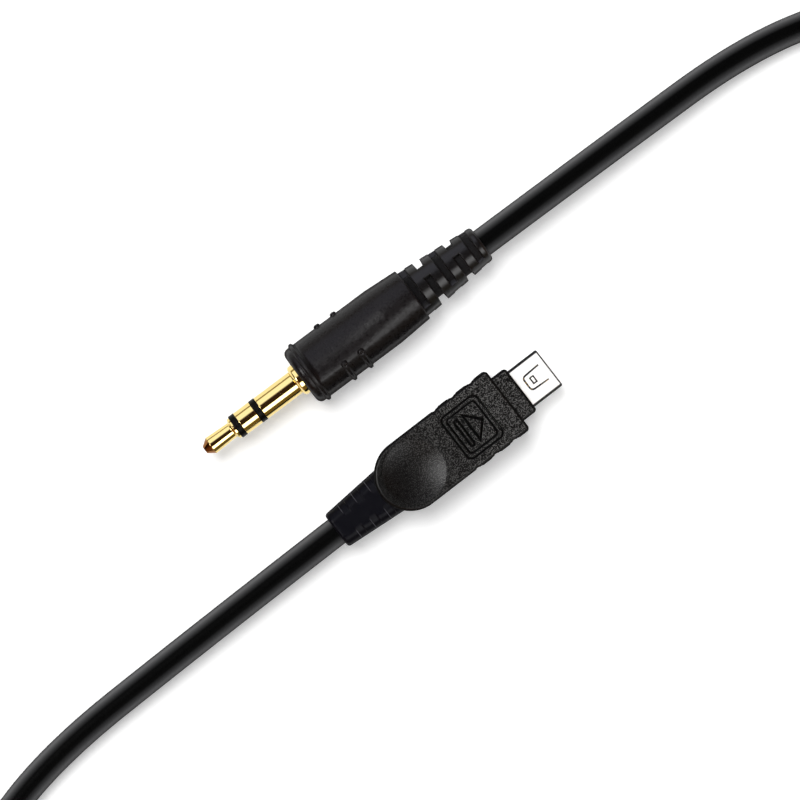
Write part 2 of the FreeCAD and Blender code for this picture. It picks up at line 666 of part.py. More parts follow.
half_angle = math.radians(size("crown_half_angle"))
crease_width = size("barrel_diameter / 2") * math.sin(half_angle)
crease_height = size("barrel_diameter / 2") * math.cos(half_angle)
crown_centre = crease_height - math.sqrt(size("crown_radius") ** 2 - crease_width ** 2)
CROWN_REAR = f"({BARREL} + crown_straight + crown_runout)"
RUNOUT_RADIUS = "crown_radius + barrel_diameter / 4"
crown = turned_part("crown", [
    (f"{BARREL} - barrel_wall", "0"),
    (f"{BARREL} - barrel_wall", "crown_radius"),
    (f"{BARREL} + crown_straight", "crown_radius"),
    (CROWN_REAR, RUNOUT_RADIUS),
    (CROWN_REAR, "0"),
], JACK * FreeCAD.Placement(FreeCAD.Vector(0, 0, crown_centre), FreeCAD.Rotation()))
top_zone = document.addObject("Part::Box", "top_zone")
top_zone.setExpression("Length", bound("crown_straight + crown_runout - crown_front"))
top_zone.setExpression("Width", bound("2 * barrel_diameter"))
top_zone.setExpression("Height", bound("barrel_diameter"))
zone_corner = FreeCAD.Vector(size(f"{BARREL} + crown_front"), -size("barrel_diameter"), crease_height)
top_zone.Placement = JACK * FreeCAD.Placement(zone_corner, FreeCAD.Rotation())
top_cutter = cut_part("top_cutter", top_zone, [crown])
keep(cut_part("crowned_barrel", barrel, [top_cutter]), "jack_barrel")

# Strain relief of the jack: a tapered sleeve with slots cut from its faces and its sides in turn
relief = turned_part("relief", [
    (SPIGOT, "cable_diameter / 2"),
    (SPIGOT, "barrel_bore / 2"),
    (BARREL_REAR, "barrel_bore / 2"),
    (BARREL_REAR, "relief_front_diameter / 2"),
    (RELIEF_REAR, "relief_rear_diameter / 2"),
    (RELIEF_REAR, "cable_diameter / 2"),
])
round_edges(relief, "relief_edge", "relief_round",
            circle_at(size(RELIEF_REAR), size("relief_rear_diameter / 2")))


def slot_family(role, name, first_place, count, span):
    """Ring slots cut from one side of the sleeve, then from the opposite side."""
    sketch = new_sketch(relief, role, name + "_profile")
    for step in range(count):
        middle = f"{BARREL_REAR} + {first_place} + {step} * slot_pitch"
        add_loop(sketch, [
            (f"{middle} - slot_width / 2", "relief_core_diameter / 2"),
            (f"{middle} + slot_width / 2", "relief_core_diameter / 2"),
            (f"{middle} + slot_width / 2", "relief_front_diameter"),
            (f"{middle} - slot_width / 2", "relief_front_diameter"),
        ])
    groove = revolve(relief, "PartDesign::Groove", name, sketch, span)
    opposite = pattern(relief, "PartDesign::PolarPattern", name + "_pair", [groove])
    opposite.Axis = (sketch, ["H_Axis"])
    opposite.Angle = 360
    opposite.Occurrences = 2


slot_family("XZ_Plane", "face_slots", "face_slot_place", FACE_SLOT_COUNT, "face_slot_span")
slot_family("XY_Plane", "side_slots", "side_slot_place", SIDE_SLOT_COUNT, "side_slot_span")
keep(relief, "jack_strain_relief")

# Metal shell of the camera plug: a drawn rectangular tube with a latch tongue slit in its top
shell = new_body("shell", PLUG)
block(shell, "PartDesign::AdditiveBox", "shell_outside", ("0", "-shell_width / 2", "-shell_height / 2"),
      ("shell_length", "shell_width", "shell_height"))
round_edges(shell, "shell_corners", "shell_round", along_x(0, size("shell_length")))
block(shell, "PartDesign::SubtractiveBox", "shell_inside",
      ("0", "shell_wall - shell_width / 2", "shell_wall - shell_height / 2"),
      ("shell_length", "shell_width - 2 * shell_wall", "shell_height - 2 * shell_wall"))


def inside_shell(edge):
    """Test for the four long edges inside the shell."""
    inner = size("shell_height / 2 - shell_wall")
    return along_x(0, size("shell_length"))(edge) and near(abs(edge.BoundBox.ZMin), inner)


round_edges(shell, "shell_inner_corners", "shell_round - shell_wall", inside_shell)


def tongue_outline(body, name, root, end, root_width, end_width):
    """Sketch of a tongue that narrows from its root to its free end."""
    sketch = new_sketch(body, "XY_Plane", name)
    add_loop(sketch, [
        (root, f"-({root_width}) / 2"),
        (end, f"-({end_width}) / 2"),
        (end, f"({end_width}) / 2"),
        (root, f"({root_width}) / 2"),
    ])
    return sketch


def upright_at(station):
    """Test for an upright edge at a station."""
    def chosen(edge):
        box = edge.BoundBox
        at_station = near(box.XMin, station) and near(box.XMax, station)
        return at_station and near(box.YLength, 0) and not near(box.ZLength, 0)
    return chosen


LATCH_END = "(latch_root + latch_length)"
window = tongue_outline(shell, "latch_window_outline", "latch_root", f"{LATCH_END} + latch_slit",
                        "latch_root_width + 2 * latch_slit", "latch_end_width + 2 * latch_slit")
extrude(shell, "PartDesign::Pocket", "latch_window", window, "shell_height", backwards=True)
round_edges(shell, "latch_window_corners", "latch_round + latch_slit",
            upright_at(size(f"{LATCH_END} + latch_slit")))
keep(shell, "plug_shell")

latch = new_body("latch", PLUG)
tongue = tongue_outline(latch, "tongue_outline", "latch_root + latch_root_gap", LATCH_END,
                        "latch_root_width", "latch_end_width")
tongue.setExpression("AttachmentOffset.Base.z", bound("shell_height / 2 - shell_wall"))
extrude(latch, "PartDesign::Pad", "tongue", tongue, "shell_wall")
round_edges(latch, "tongue_corners", "latch_round", upright_at(size(LATCH_END)))
block(latch, "PartDesign::AdditiveBox", "catch",
      ("catch_place", "-catch_width / 2", "shell_height / 2 - shell_wall / 2"),
      ("catch_length", "catch_width", "shell_wall / 2 + catch_height"))


def catch_top(edge):
    """Test for the edges round the top of the catch."""
    return near(edge.BoundBox.ZMin, size("shell_height / 2 + catch_height"))


round_edges(latch, "catch_edges", "catch_height / 2", catch_top)
keep(latch, "plug_latch_tongue")

# Contacts of the camera plug: strips in a moulded carrier, three of them long enough to solder
CARRIER_REAR = "(shell_length + carrier_flange)"
BLADE_TOP = "(shell_wall - shell_height / 2 + blade_thickness)"
# The three soldered contacts, each with its lead and the angle of that lead's core in the cable
SOLDERED = {
    0: ("plug_ground_lead", -150),
    3: ("plug_focus_lead", 90),
    7: ("plug_shutter_lead", -30),
}


def contact_middle(number):
    """Distance of a contact's middle line from the plug's middle."""
    return f"({number} - {(CONTACT_COUNT - 1) / 2}) * contact_pitch"


contact_strips = []
for number in range(CONTACT_COUNT):
    strip = document.addObject("Part::Box", "contact")
    tail = "tail_long" if number in SOLDERED else "tail_short"
    strip.setExpression("Length", bound(f"{CARRIER_REAR} + {tail} - blade_front - contact_inset"))
    strip.setExpression("Width", bound("contact_width"))
    strip.setExpression("Height", bound("contact_thickness"))
    strip.Placement = PLUG * FreeCAD.Placement(FreeCAD.Vector(
        size("blade_front + contact_inset"),
        size(f"{contact_middle(number)} - contact_width / 2"),
        size(f"{BLADE_TOP} + contact_proud - contact_thickness")), FreeCAD.Rotation())
    contact_strips.append(strip)
keep(group("contacts", contact_strips), "plug_contacts")

carrier_blank = new_body("carrier_blank", PLUG)
block(carrier_blank, "PartDesign::AdditiveBox", "carrier_block",
      ("carrier_front", "shell_wall - shell_width / 2", "shell_wall - shell_height / 2"),
      (f"{CARRIER_REAR} - carrier_front", "shell_width - 2 * shell_wall", "shell_height - 2 * shell_wall"))
round_edges(carrier_blank, "carrier_corners", "shell_round - shell_wall",
            along_x(size("carrier_front"), size(CARRIER_REAR)))
block(carrier_blank, "PartDesign::AdditiveBox", "carrier_flange_block",
      ("shell_length", "-shell_width / 2", "-shell_height / 2"),
      ("carrier_flange", "shell_width", "shell_height"))
block(carrier_blank, "PartDesign::AdditiveBox", "carrier_blade",
      ("blade_front", "-blade_width / 2", "shell_wall - shell_height / 2"),
      ("carrier_front - blade_front", "blade_width", "blade_thickness"))
carrier = keep(cut_part("carrier", carrier_blank, contact_strips), "plug_contact_carrier")

# Leads of the camera plug: straight from three contacts to their cores at the cable's end
LEAD_START = f"({CARRIER_REAR} + tail_short + contact_width)"
LEAD_HEIGHT = f"({BLADE_TOP} + contact_proud + lead_gap + lead_diameter / 2)"
plug_leads = []
plug_joints = []
for number, (lead_name, seat_angle) in SOLDERED.items():
    across = size(contact_middle(number))
    seat = FreeCAD.Vector(
        size("plug_cable_end"),
        size("lead_circle") * math.cos(math.radians(seat_angle)),
        size("lead_circle") * math.sin(math.radians(seat_angle)))
    foot = FreeCAD.Vector(size(LEAD_START), across, size(LEAD_HEIGHT))
    slope = seat - foot
    bar = document.addObject("Part::Cylinder", "plug_lead_bar")
    bar.setExpression("Radius", bound("lead_diameter / 2"))
    bar.Height = slope.Length + size("lead_diameter")
    bar.Placement = PLUG * FreeCAD.Placement(foot, FreeCAD.Rotation(Z_AXIS, slope))
    beyond = cylinder("beyond_cable_end", PLUG, "plug_cable_end", "cable_diameter", "2 * cable_diameter")
    lead = keep(cut_part("plug_lead", bar, [beyond, contact_strips[number]]), lead_name)
    drop = cylinder("plug_drop", PLUG, f"{LEAD_START} + joint_inset",
                    "tail_long - tail_short - 2 * joint_inset", "joint_diameter",
                    across=contact_middle(number), up=f"{BLADE_TOP} + contact_proud")
    joint = cut_part("plug_joint", drop, [contact_strips[number], lead])
    plug_leads.append(lead)
    plug_joints.append(joint)
keep(group("plug_solder", plug_joints), "plug_solder_joints")

# Crimped ferrule round the cable's end
FERRULE = "plug_cable_end + ferrule_place"
ferrule_outside = cylinder("ferrule_outside", PLUG, FERRULE, "ferrule_length",
                           "cable_diameter + 2 * ferrule_wall")
ferrule_inside = cylinder("ferrule_inside", PLUG, FERRULE, "ferrule_length", "cable_diameter")
ferrule_seam = document.addObject("Part::Box", "ferrule_seam")
ferrule_seam.setExpression("Length", bound("ferrule_length"))
ferrule_seam.setExpression("Width", bound("ferrule_slit"))
ferrule_seam.setExpression("Height", bound("cable_diameter"))
ferrule_seam.Placement = PLUG * FreeCAD.Placement(
    FreeCAD.Vector(size(FERRULE), -size("ferrule_slit / 2"), -size("cable_diameter")), FreeCAD.Rotation())
ferrule = keep(cut_part("ferrule", ferrule_outside, [ferrule_inside, ferrule_seam]), "plug_cable_ferrule")

# Inner mould of the camera plug, cast round the back of the shell, the leads and the cable's end
plug_mould_blank = new_body("plug_mould_blank", PLUG)
block(plug_mould_blank, "PartDesign::AdditiveBox", "plug_mould_block",
      ("cavity_front", "-cavity_width / 2", "-cavity_height / 2"),
      ("cavity_rear - cavity_front", "cavity_width", "cavity_height"))
plug_cable_seat = cylinder("plug_cable_seat", PLUG, "plug_cable_end", "boot_rear - plug_cable_end",
                           "cable_diameter")
keep(cut_part("plug_mould", plug_mould_blank, [
    shell, carrier, *contact_strips, *plug_leads, *plug_joints, ferrule, plug_cable_seat,
]), "plug_core_mould")

# Strain relief of the camera plug: a flattened, tapered boot with slots across its two faces
boot_blank = new_body("boot_blank", PLUG)
boot = boot_blank.newObject("PartDesign::AdditiveWedge", "boot_taper")
for side, expression in {
    "Ymin": "boot_front", "Ymax": "boot_rear",
    "Xmin": "-boot_front_height / 2", "Xmax": "boot_front_height / 2",
    "Zmin": "-boot_front_width / 2", "Zmax": "boot_front_width / 2",
    "X2min": "-boot_rear_height / 2", "X2max": "boot_rear_height / 2",
    "Z2min": "-boot_rear_width / 2", "Z2max": "boot_rear_width / 2",
}.items():
    boot.setExpression(side, bound(expression))
boot.Placement = FreeCAD.Placement(FreeCAD.Matrix(
    0, 1, 0, 0,
    0, 0, 1, 0,
    1, 0, 0, 0))


def long_boot_edge(edge):
    """Test for the four long edges of the tapered part."""
    return edge.BoundBox.XLength > size("boot_rear - boot_front") / 2


round_edges(boot_blank, "boot_corners", "boot_round", long_boot_edge)


def boot_end(edge):
    """Test for the edges round the rear end."""
    return near(edge.BoundBox.XMin, size("boot_rear"))


round_edges(boot_blank, "boot_end_edge", "boot_end_round", boot_end)
block(boot_blank, "PartDesign::AdditiveBox", "boot_spigot",
      ("cavity_rear", "-spigot_width / 2", "-spigot_height / 2"),
      ("boot_front - cavity_rear", "spigot_width", "spigot_height"))

slot_tools = []
for step in range(BOOT_SLOT_COUNT):
    for side in (-1, 1):
        slot = document.addObject("Part::Box", "boot_slot")
        slot.setExpression("Length", bound("boot_slot_width"))
        slot.setExpression("Width", bound("boot_slot_span"))
        slot.setExpression("Height", bound("boot_front_height"))
        along = size(f"boot_rear - boot_slot_place - {step} * boot_slot_pitch - boot_slot_width / 2")
        floor = size("boot_rear_height / 2 - boot_slot_depth")
        up = floor if side > 0 else -floor - size("boot_front_height")
        slot.Placement = PLUG * FreeCAD.Placement(
            FreeCAD.Vector(along, -size("boot_slot_span / 2"), up), FreeCAD.Rotation())
        slot_tools.append(slot)
boot_bore = cylinder("boot_bore", PLUG, "cavity_rear", "boot_rear - cavity_rear", "cable_diameter")
keep(cut_part("boot_slotted", boot_blank, [boot_bore, *slot_tools]), "plug_strain_relief")

# Housing of the camera plug: two covers that close on the inner mould and the strain relief
SHOULDER = "(shell_shows + neck_length)"
REAR_CENTRE = f"({SHOULDER} + housing_length - housing_width / 2)"
FACE = "housing_height / 2"
PEG_PLACES = [(along, side) for along in ("front_peg_place", "rear_peg_place") for side in (-1, 1)]


def peg_sketch(body, name, diameter):
    """Sketch of the four round pegs or their sockets."""
    sketch = new_sketch(body, "XY_Plane", name)
    for along, side in PEG_PLACES:
        add_circle(sketch, f"{SHOULDER} + {along}", f"{side} * (housing_width / 2 - peg_inset)", diameter)
    return sketch


def housing_half(name, place):
    """One cover without its own marks: outline, neck, grips, cavity and the shell's seat."""
    body = new_body(name, place)
    plan = new_sketch(body, "XY_Plane", name + "_plan")
    add_loop(plan, [
        (SHOULDER, "-housing_width / 2"),
        (REAR_CENTRE, "-housing_width / 2"),
        (REAR_CENTRE, "housing_width / 2"),
        (SHOULDER, "housing_width / 2"),
    ])
    extrude(body, "PartDesign::Pad", name + "_front", plan, FACE)
    rear = new_sketch(body, "XY_Plane", name + "_rear_plan")
    add_circle(rear, REAR_CENTRE, "0", "housing_width")
    extrude(body, "PartDesign::Pad", name + "_rear", rear, FACE)
    round_edges(body, name + "_shoulder", "housing_round", upright_at(size(SHOULDER)))

    def outer_face(edge):
        return near(edge.BoundBox.ZMin, size(FACE))

    round_edges(body, name + "_outer_edge", "housing_round", outer_face)
    lobes = new_sketch(body, "XY_Plane", name + "_lobe_plan")
    for side in (-1, 1):
        flank = f"{side} * housing_width / 2"
        middle = f"{SHOULDER} + lobe_place"
        add_loop(lobes, [
            (f"{middle} - lobe_length / 2", f"{flank} - {side} * lobe_height"),
            (f"{middle} + lobe_length / 2", f"{flank} - {side} * lobe_height"),
            (f"{middle} + lobe_length / 2", flank),
            (f"{middle} + lobe_length / 4", f"{flank} + {side} * lobe_height"),
            (f"{middle} - lobe_length / 4", f"{flank} + {side} * lobe_height"),
            (f"{middle} - lobe_length / 2", flank),
        ])
    lobe_pad = extrude(body, "PartDesign::Pad", name + "_lobe", lobes, f"{FACE} - lobe_margin")
    hollows = new_sketch(body, "XY_Plane", name + "_hollow_plan")
    for side in (-1, 1):
        add_circle(hollows, f"{SHOULDER} + hollow_place",
                   f"{side} * (housing_width / 2 + hollow_diameter / 2 - hollow_depth)", "hollow_diameter")
    lobe_row = pattern(body, "PartDesign::LinearPattern", name + "_lobe_row", [lobe_pad])
    hollow = extrude(body, "PartDesign::Pocket", name + "_hollow", hollows, FACE, backwards=True)
    hollow_row = pattern(body, "PartDesign::LinearPattern", name + "_hollow_row", [hollow])
    for row in (lobe_row, hollow_row):
        row.Direction = (origin_plane(body, "X_Axis"), [""])
        row.Mode = "Spacing"
        row.setExpression("Offset", bound("grip_pitch"))
        row.Occurrences = GRIP_COUNT
    block(body, "PartDesign::AdditiveBox", name + "_neck", ("shell_shows", "-neck_width / 2", "0"),
          (f"{SHOULDER} - shell_shows + housing_round", "neck_width", "neck_height / 2"))

    def neck_front(edge):
        box = edge.BoundBox
        upright_or_top = near(box.YLength, 0) or near(box.ZMin, size("neck_height / 2"))
        return near(box.XMax, size("shell_shows")) and upright_or_top

    round_edges(body, name + "_neck_edges", "neck_round", neck_front)
    block(body, "PartDesign::SubtractiveBox", name + "_cavity", ("cavity_front", "-cavity_width / 2", "0"),
          ("cavity_rear - cavity_front", "cavity_width", "cavity_height / 2"))
    return body


TOP = PLUG
BOTTOM = turned_about_axis(PLUG, 180)
top_half = housing_half("top_half", TOP)

# Top cover: thumb dish, arrow panel and sockets for the pegs
dish = top_half.newObject("PartDesign::SubtractiveSphere", "thumb_dish")
DISH_BALL = "((dish_radius ^ 2 + dish_depth ^ 2) / (2 * dish_depth))"
dish.setExpression("Radius", bound(DISH_BALL))
dish.setExpression("Placement.Base.x", bound(f"{SHOULDER} + dish_place"))
dish.setExpression("Placement.Base.z", bound(f"{FACE} - dish_depth + {DISH_BALL}"))


def recess(name, inset, depth, corner):
    """Rounded rectangular recess of the arrow panel, set in from its outline."""
    low = f"{SHOULDER} + panel_place + {inset}"
    extent = (f"panel_length - 2 * {inset}", f"panel_width - 2 * {inset}", FACE)
    block(top_half, "PartDesign::SubtractiveBox", name,
          (low, f"{inset} - panel_width / 2", f"{FACE} - ({depth})"), extent)

    def corners(edge):
        box = edge.BoundBox
        upright = near(box.XLength, 0) and near(box.YLength, 0)
        ends = (size(low), size(f"{low} + panel_length - 2 * {inset}"))
        at_end = near(box.XMin, ends[0]) or near(box.XMin, ends[1])
        return upright and at_end and near(abs(box.YMin), size(f"panel_width / 2 - {inset}"))

    round_edges(top_half, name + "_corners", corner, corners)


recess("panel_step", "0", "panel_depth", "panel_round")
recess("panel_field", "panel_rim", "panel_depth + field_depth", "panel_round - panel_rim / 2")
FIELD = f"{FACE} - panel_depth - field_depth"
block(top_half, "PartDesign::AdditiveBox", "panel_bar",
      (f"{SHOULDER} + bar_place", "-bar_length / 2", f"{FIELD} - mark_height"),
      ("bar_width", "bar_length", "2 * mark_height"))


def bar_ends(edge):
    """Test for the upright edges of the bar."""
    box = edge.BoundBox
    upright = near(box.XLength, 0) and near(box.YLength, 0) and near(box.ZLength, size("mark_height"))
    return upright and near(abs(box.YMin), size("bar_length / 2"))


round_edges(top_half, "panel_bar_ends", "bar_end_round", bar_ends)
arrow = new_sketch(top_half, "XY_Plane", "panel_arrow_outline")
arrow.setExpression("AttachmentOffset.Base.z", bound(f"{FIELD} - mark_height"))
add_loop(arrow, [
    (f"{SHOULDER} + arrow_place", "0"),
    (f"{SHOULDER} + arrow_place + arrow_length", "arrow_width / 2"),
    (f"{SHOULDER} + arrow_place + arrow_length", "-arrow_width / 2"),
])
extrude(top_half, "PartDesign::Pad", "panel_arrow", arrow, "2 * mark_height")
sockets = peg_sketch(top_half, "socket_plan", "peg_diameter + 2 * peg_clearance")
extrude(top_half, "PartDesign::Pocket", "sockets", sockets, "peg_length + peg_clearance", backwards=True)

# Bottom cover: plain outside, with the locating pegs on its joint face
bottom_half = housing_half("bottom_half", BOTTOM)
pegs = peg_sketch(bottom_half, "peg_plan", "peg_diameter")
extrude(bottom_half, "PartDesign::Pad", "pegs", pegs, "peg_length", backwards=True)

shell_envelope = document.addObject("Part::Box", "shell_envelope")
shell_envelope.setExpression("Length", bound("shell_length"))
shell_envelope.setExpression("Width", bound("shell_width"))
shell_envelope.setExpression("Height", bound("shell_height"))
shell_envelope.Placement = PLUG * FreeCAD.Placement(
    FreeCAD.Vector(0, -size("shell_width / 2"), -size("shell_height / 2")), FreeCAD.Rotation())
rounded_envelope = document.addObject("Part::Fillet", "rounded_envelope")
rounded_envelope.Base = shell_envelope
document.recompute()
shell_direction = PLUG.Rotation.multVec(X_AXIS)
rounded_envelope.Edges = [
    (number, size("shell_round"), size("shell_round"))
    for number, edge in enumerate(shell_envelope.Shape.Edges, start=1)
    if abs(edge.tangentAt(edge.FirstParameter).dot(shell_direction)) > 0.99
]
keep(cut_part("top_cover", top_half, [rounded_envelope, boot_blank]), "plug_top_cover")
keep(cut_part("bottom_cover", bottom_half, [rounded_envelope, boot_blank]), "plug_bottom_cover")

# Cable: one piece from the inner mould of the jack, round in a loose open loop, to the camera plug
jack_end = JACK.multVec(FreeCAD.Vector(size("jack_cable_end"), 0, 0))
plug_end = PLUG.multVec(FreeCAD.Vector(size("plug_cable_end"), 0, 0))
behind_jack = JACK.multVec(FreeCAD.Vector(size("jack_cable_end + jack_cable_straight"), 0, 0))
behind_plug = PLUG.multVec(FreeCAD.Vector(size("plug_cable_end + plug_cable_straight"), 0, 0))
open_route = [FreeCAD.Vector(*point) for point in CABLE_ROUTE]
route = [jack_end, behind_jack, *open_route, behind_plug, plug_end]
cable, cable_length, cable_radii = tube("cable_tube", route, size("cable_diameter"))
keep(cable, "cable")
print(f"cable {cable_length:.1f} mm long, radii", [round(radius, 1) for radius in cable_radii])
print("its ends", jack_end, behind_jack, behind_plug, plug_end)

document.recompute()
for item in document.Objects:
    if "Invalid" in item.State or "Error" in item.State:
        raise RuntimeError(f"{item.Label} failed: {item.State}")
for item in subparts:
    if item.Shape.isNull() or not item.Shape.isValid():
        raise RuntimeError(f"{item.Label} has no valid shape")
    if item.Shape.Volume <= 0 or not item.Shape.Solids:
        raise RuntimeError(f"{item.Label} is no solid")

os.makedirs("parts", exist_ok=True)
plugs_box = FreeCAD.BoundBox()
for item in subparts:
    item.Shape.exportStep(f"parts/{item.Label}.step")
    if item.Label != "cable":
        plugs_box.add(item.Shape.BoundBox)
    print(f"{item.Label}: {len(item.Shape.Solids)} solid(s), {item.Shape.Volume:.2f} mm3")
print("box of the plugs", plugs_box)
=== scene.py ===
import math

import bmesh
import bpy
import numpy as np
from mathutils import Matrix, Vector


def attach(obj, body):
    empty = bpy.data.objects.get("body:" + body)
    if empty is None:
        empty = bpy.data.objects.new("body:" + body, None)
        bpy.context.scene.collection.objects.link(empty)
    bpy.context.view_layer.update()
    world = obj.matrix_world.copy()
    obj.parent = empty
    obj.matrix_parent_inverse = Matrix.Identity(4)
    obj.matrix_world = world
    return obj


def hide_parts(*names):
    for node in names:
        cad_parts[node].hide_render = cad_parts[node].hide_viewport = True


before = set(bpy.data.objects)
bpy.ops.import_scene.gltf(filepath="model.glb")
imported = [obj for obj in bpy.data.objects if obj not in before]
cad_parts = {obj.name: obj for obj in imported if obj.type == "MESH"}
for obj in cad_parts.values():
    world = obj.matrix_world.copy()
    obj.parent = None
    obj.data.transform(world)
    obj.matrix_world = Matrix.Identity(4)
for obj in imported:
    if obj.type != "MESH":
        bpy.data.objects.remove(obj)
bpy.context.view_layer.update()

MM = 0.001  # every size below is in millimetres and is turned to metres where a mesh is made


# The camera: a long lens high above the table, looking straight down on the two plugs.
VIEW_MIDDLE = (2.33, -1.78)
VIEW_WIDTH = 109.6
CAMERA_HEIGHT = 600.0
SENSOR = 36.0


def add_object(name, data):
    """Puts a new object with this data into the scene and returns it."""
    thing = bpy.data.objects.new(name, data)
    bpy.context.collection.objects.link(thing)
    return thing


camera_data = bpy.data.cameras.new("camera")
camera_data.sensor_width = SENSOR
camera_data.lens = SENSOR * CAMERA_HEIGHT / VIEW_WIDTH
camera_data.clip_start = 0.05
camera_data.clip_end = 20.0
camera = add_object("camera", camera_data)
camera.location = Vector((*VIEW_MIDDLE, CAMERA_HEIGHT)) * MM
bpy.context.scene.camera = camera
bpy.context.scene.view_settings.view_transform = "Standard"


# The cable: a round cord with a jacket of black soft PVC, extruded and slightly glossy. It runs from the
# jack plug round in one loose open bend to the camera plug, and both strain reliefs are moulded on it.
CABLE_DIAMETER = 4.0
JACK_LEVEL = 4.66
PLUG_LEVEL = 3.6
ON_FLOOR = (
    (56.5, 51.3), (80.0, 52.0), (95.5, 35.5), (97.0, 5.0), (91.0, -30.5), (76.5, -62.0), (52.5, -85.5),
    (18.0, -98.5), (-17.5, -102.0), (-42.0, -96.5), (-57.5, -80.5), (-54.0, -57.4),
)
CABLE_ROUTE = (
    (0.643, 9.980, JACK_LEVEL), (25.866, 28.849, JACK_LEVEL),
    *((x, y, CABLE_DIAMETER / 2) for x, y in ON_FLOOR),
    (-18.579, -29.068, PLUG_LEVEL), (7.566, -8.933, PLUG_LEVEL),
)


def linear(colour):
    """The sRGB hex value as linear red, green and blue, by the sRGB curve, with an alpha of one."""
    parts = [int(colour[place:place + 2], 16) / 255 for place in (1, 3, 5)]
    curve = [part / 12.92 if part <= 0.04045 else ((part + 0.055) / 1.055) ** 2.4 for part in parts]
    return (*curve, 1.0)


def add_node(tree, kind, values=None, links=None, **settings):
    """Adds a shader node of a kind, sets its properties and sockets, and links the sockets named in links."""
    node = tree.nodes.new("ShaderNode" + kind)
    for name, value in settings.items():
        setattr(node, name, value)
    for socket, value in (values or {}).items():
        node.inputs[socket].default_value = value
    for socket, source in (links or {}).items():
        tree.links.new(source, node.inputs[socket])
    return node


def new_material(name, colour, **values):
    """A principled material with its even values on the shader's own sockets."""
    material = bpy.data.materials.new(name)
    material.use_nodes = True
    shader = material.node_tree.nodes["Principled BSDF"]
    shader.inputs["Base Color"].default_value = linear(colour)
    for socket, value in values.items():
        shader.inputs[socket.replace("_", " ")].default_value = value
    return material


def feed(material, socket, output):
    """Links a node's output to a socket of the material's shader."""
    shader = material.node_tree.nodes["Principled BSDF"]
    material.node_tree.links.new(output, shader.inputs[socket])


def add_grain(material, size, depth, roughness=None, detail=2.0, stretch=(0.0, 1.0)):
    """Raised grain: noise whose lumps are size mm wide and depth mm high, and whose middle range can move
    the roughness between two values. Stretch is a heading in degrees and how many times longer the lumps
    are along it. Returns the noise's value."""
    tree = material.node_tree
    place = add_node(tree, "TexCoord")
    headed = add_node(tree, "Mapping", {"Rotation": (0, 0, -math.radians(stretch[0]))},
                      {"Vector": place.outputs["Object"]})
    scaled = add_node(tree, "VectorMath", {1: (1 / stretch[1], 1, 1)}, {0: headed.outputs["Vector"]},
                      operation="MULTIPLY")
    noise = add_node(tree, "TexNoise", {"Scale": 1 / (size * MM), "Detail": detail},
                     {"Vector": scaled.outputs["Vector"]}).outputs["Fac"]
    bump = add_node(tree, "Bump", {"Strength": 1.0, "Distance": depth * MM}, {"Height": noise})
    feed(material, "Normal", bump.outputs["Normal"])
    if roughness:
        ranged = add_node(tree, "MapRange",
                          {"From Min": 0.35, "From Max": 0.65, "To Min": roughness[0], "To Max": roughness[1]},
                          {"Value": noise})
        feed(material, "Roughness", ranged.outputs["Result"])
    return noise


def surface_level(tree):
    """How level the surface lies: its normal's Z, from 0 and less on a wall or underneath to 1 on a top."""
    facing = add_node(tree, "NewGeometry")
    return add_node(tree, "SeparateXYZ", links={0: facing.outputs["Normal"]}).outputs["Z"]


def set_stops(ramp, stops):
    """Gives a new colour ramp, which comes with two stops, its (place, colour) stops in rising order."""
    for number, (place, colour) in enumerate(stops):
        stop = ramp.elements[number] if number < 2 else ramp.elements.new(place)
        stop.position = place
        stop.color = colour


def slant_colour(tree, stops):
    """A colour by how level the surface lies, from a ramp through (level, colour) stops."""
    ramp = add_node(tree, "ValToRGB", links={"Fac": surface_level(tree)})
    set_stops(ramp.color_ramp, [(level, linear(colour)) for level, colour in stops])
    return ramp.outputs["Color"]


def dull_walls(material, low, high):
    """Leaves walls matt: as the surface's level falls from high to low, its roughness rises to 0.9."""
    tree = material.node_tree
    usual = tree.nodes["Principled BSDF"].inputs["Roughness"].links[0].from_socket
    dull = add_node(tree, "MapRange", {"From Min": low, "From Max": high, "To Min": 0.9, "To Max": 0.0},
                    {"Value": surface_level(tree)})
    rougher = add_node(tree, "Math", links={0: usual, 1: dull.outputs["Result"]}, operation="MAXIMUM")
    feed(material, "Roughness", rougher.outputs[0])


def smooth_cord(name, route, diameter):
    """A round tube along a quadratic NURBS curve whose control points are the route's points."""
    curve = bpy.data.curves.new(name, "CURVE")
    curve.dimensions = "3D"
    spline = curve.splines.new("NURBS")
    spline.points.add(len(route) - 1)
    for point, place in zip(spline.points, route):
        point.co = (*(MM * number for number in place), 1.0)
    spline.order_u = 3
    spline.use_endpoint_u = True
    spline.resolution_u = 24
    curve.bevel_depth = MM * diameter / 2
    curve.bevel_resolution = 10
    curve.use_fill_caps = True
    return add_object(name, curve)


# Extruded soft PVC: black and nearly matt, with a faint waviness along its length. Its base colour goes by how
# level the surface lies: a painted grey sheen on its two shoulders, black along its top and painted dark down
# its sides.
PAINTED_SHOULDER_SHEEN = ((0.26, "#030303"), (0.42, "#5a5a5b"), (0.62, "#5c5c5d"), (0.80, "#3a3a3b"),
                  (0.95, "#060606"))

cable_pvc = new_material("extruded_soft_pvc", "#0a0a0b", Roughness=0.36, IOR=1.45, Specular_IOR_Level=0.01)
add_grain(cable_pvc, 0.9, 0.006, roughness=(0.32, 0.42), stretch=(38.0, 6.0))
# painted sheen and shade: the base colour turns grey on the shoulders and dark on the sides by the surface's
# slant
feed(cable_pvc, "Base Color", slant_colour(cable_pvc.node_tree, PAINTED_SHOULDER_SHEEN))

cable = smooth_cord("cable_jacket", CABLE_ROUTE, CABLE_DIAMETER)
cable.data.materials.append(cable_pvc)
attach(cable, "link_cable")
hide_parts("cable")


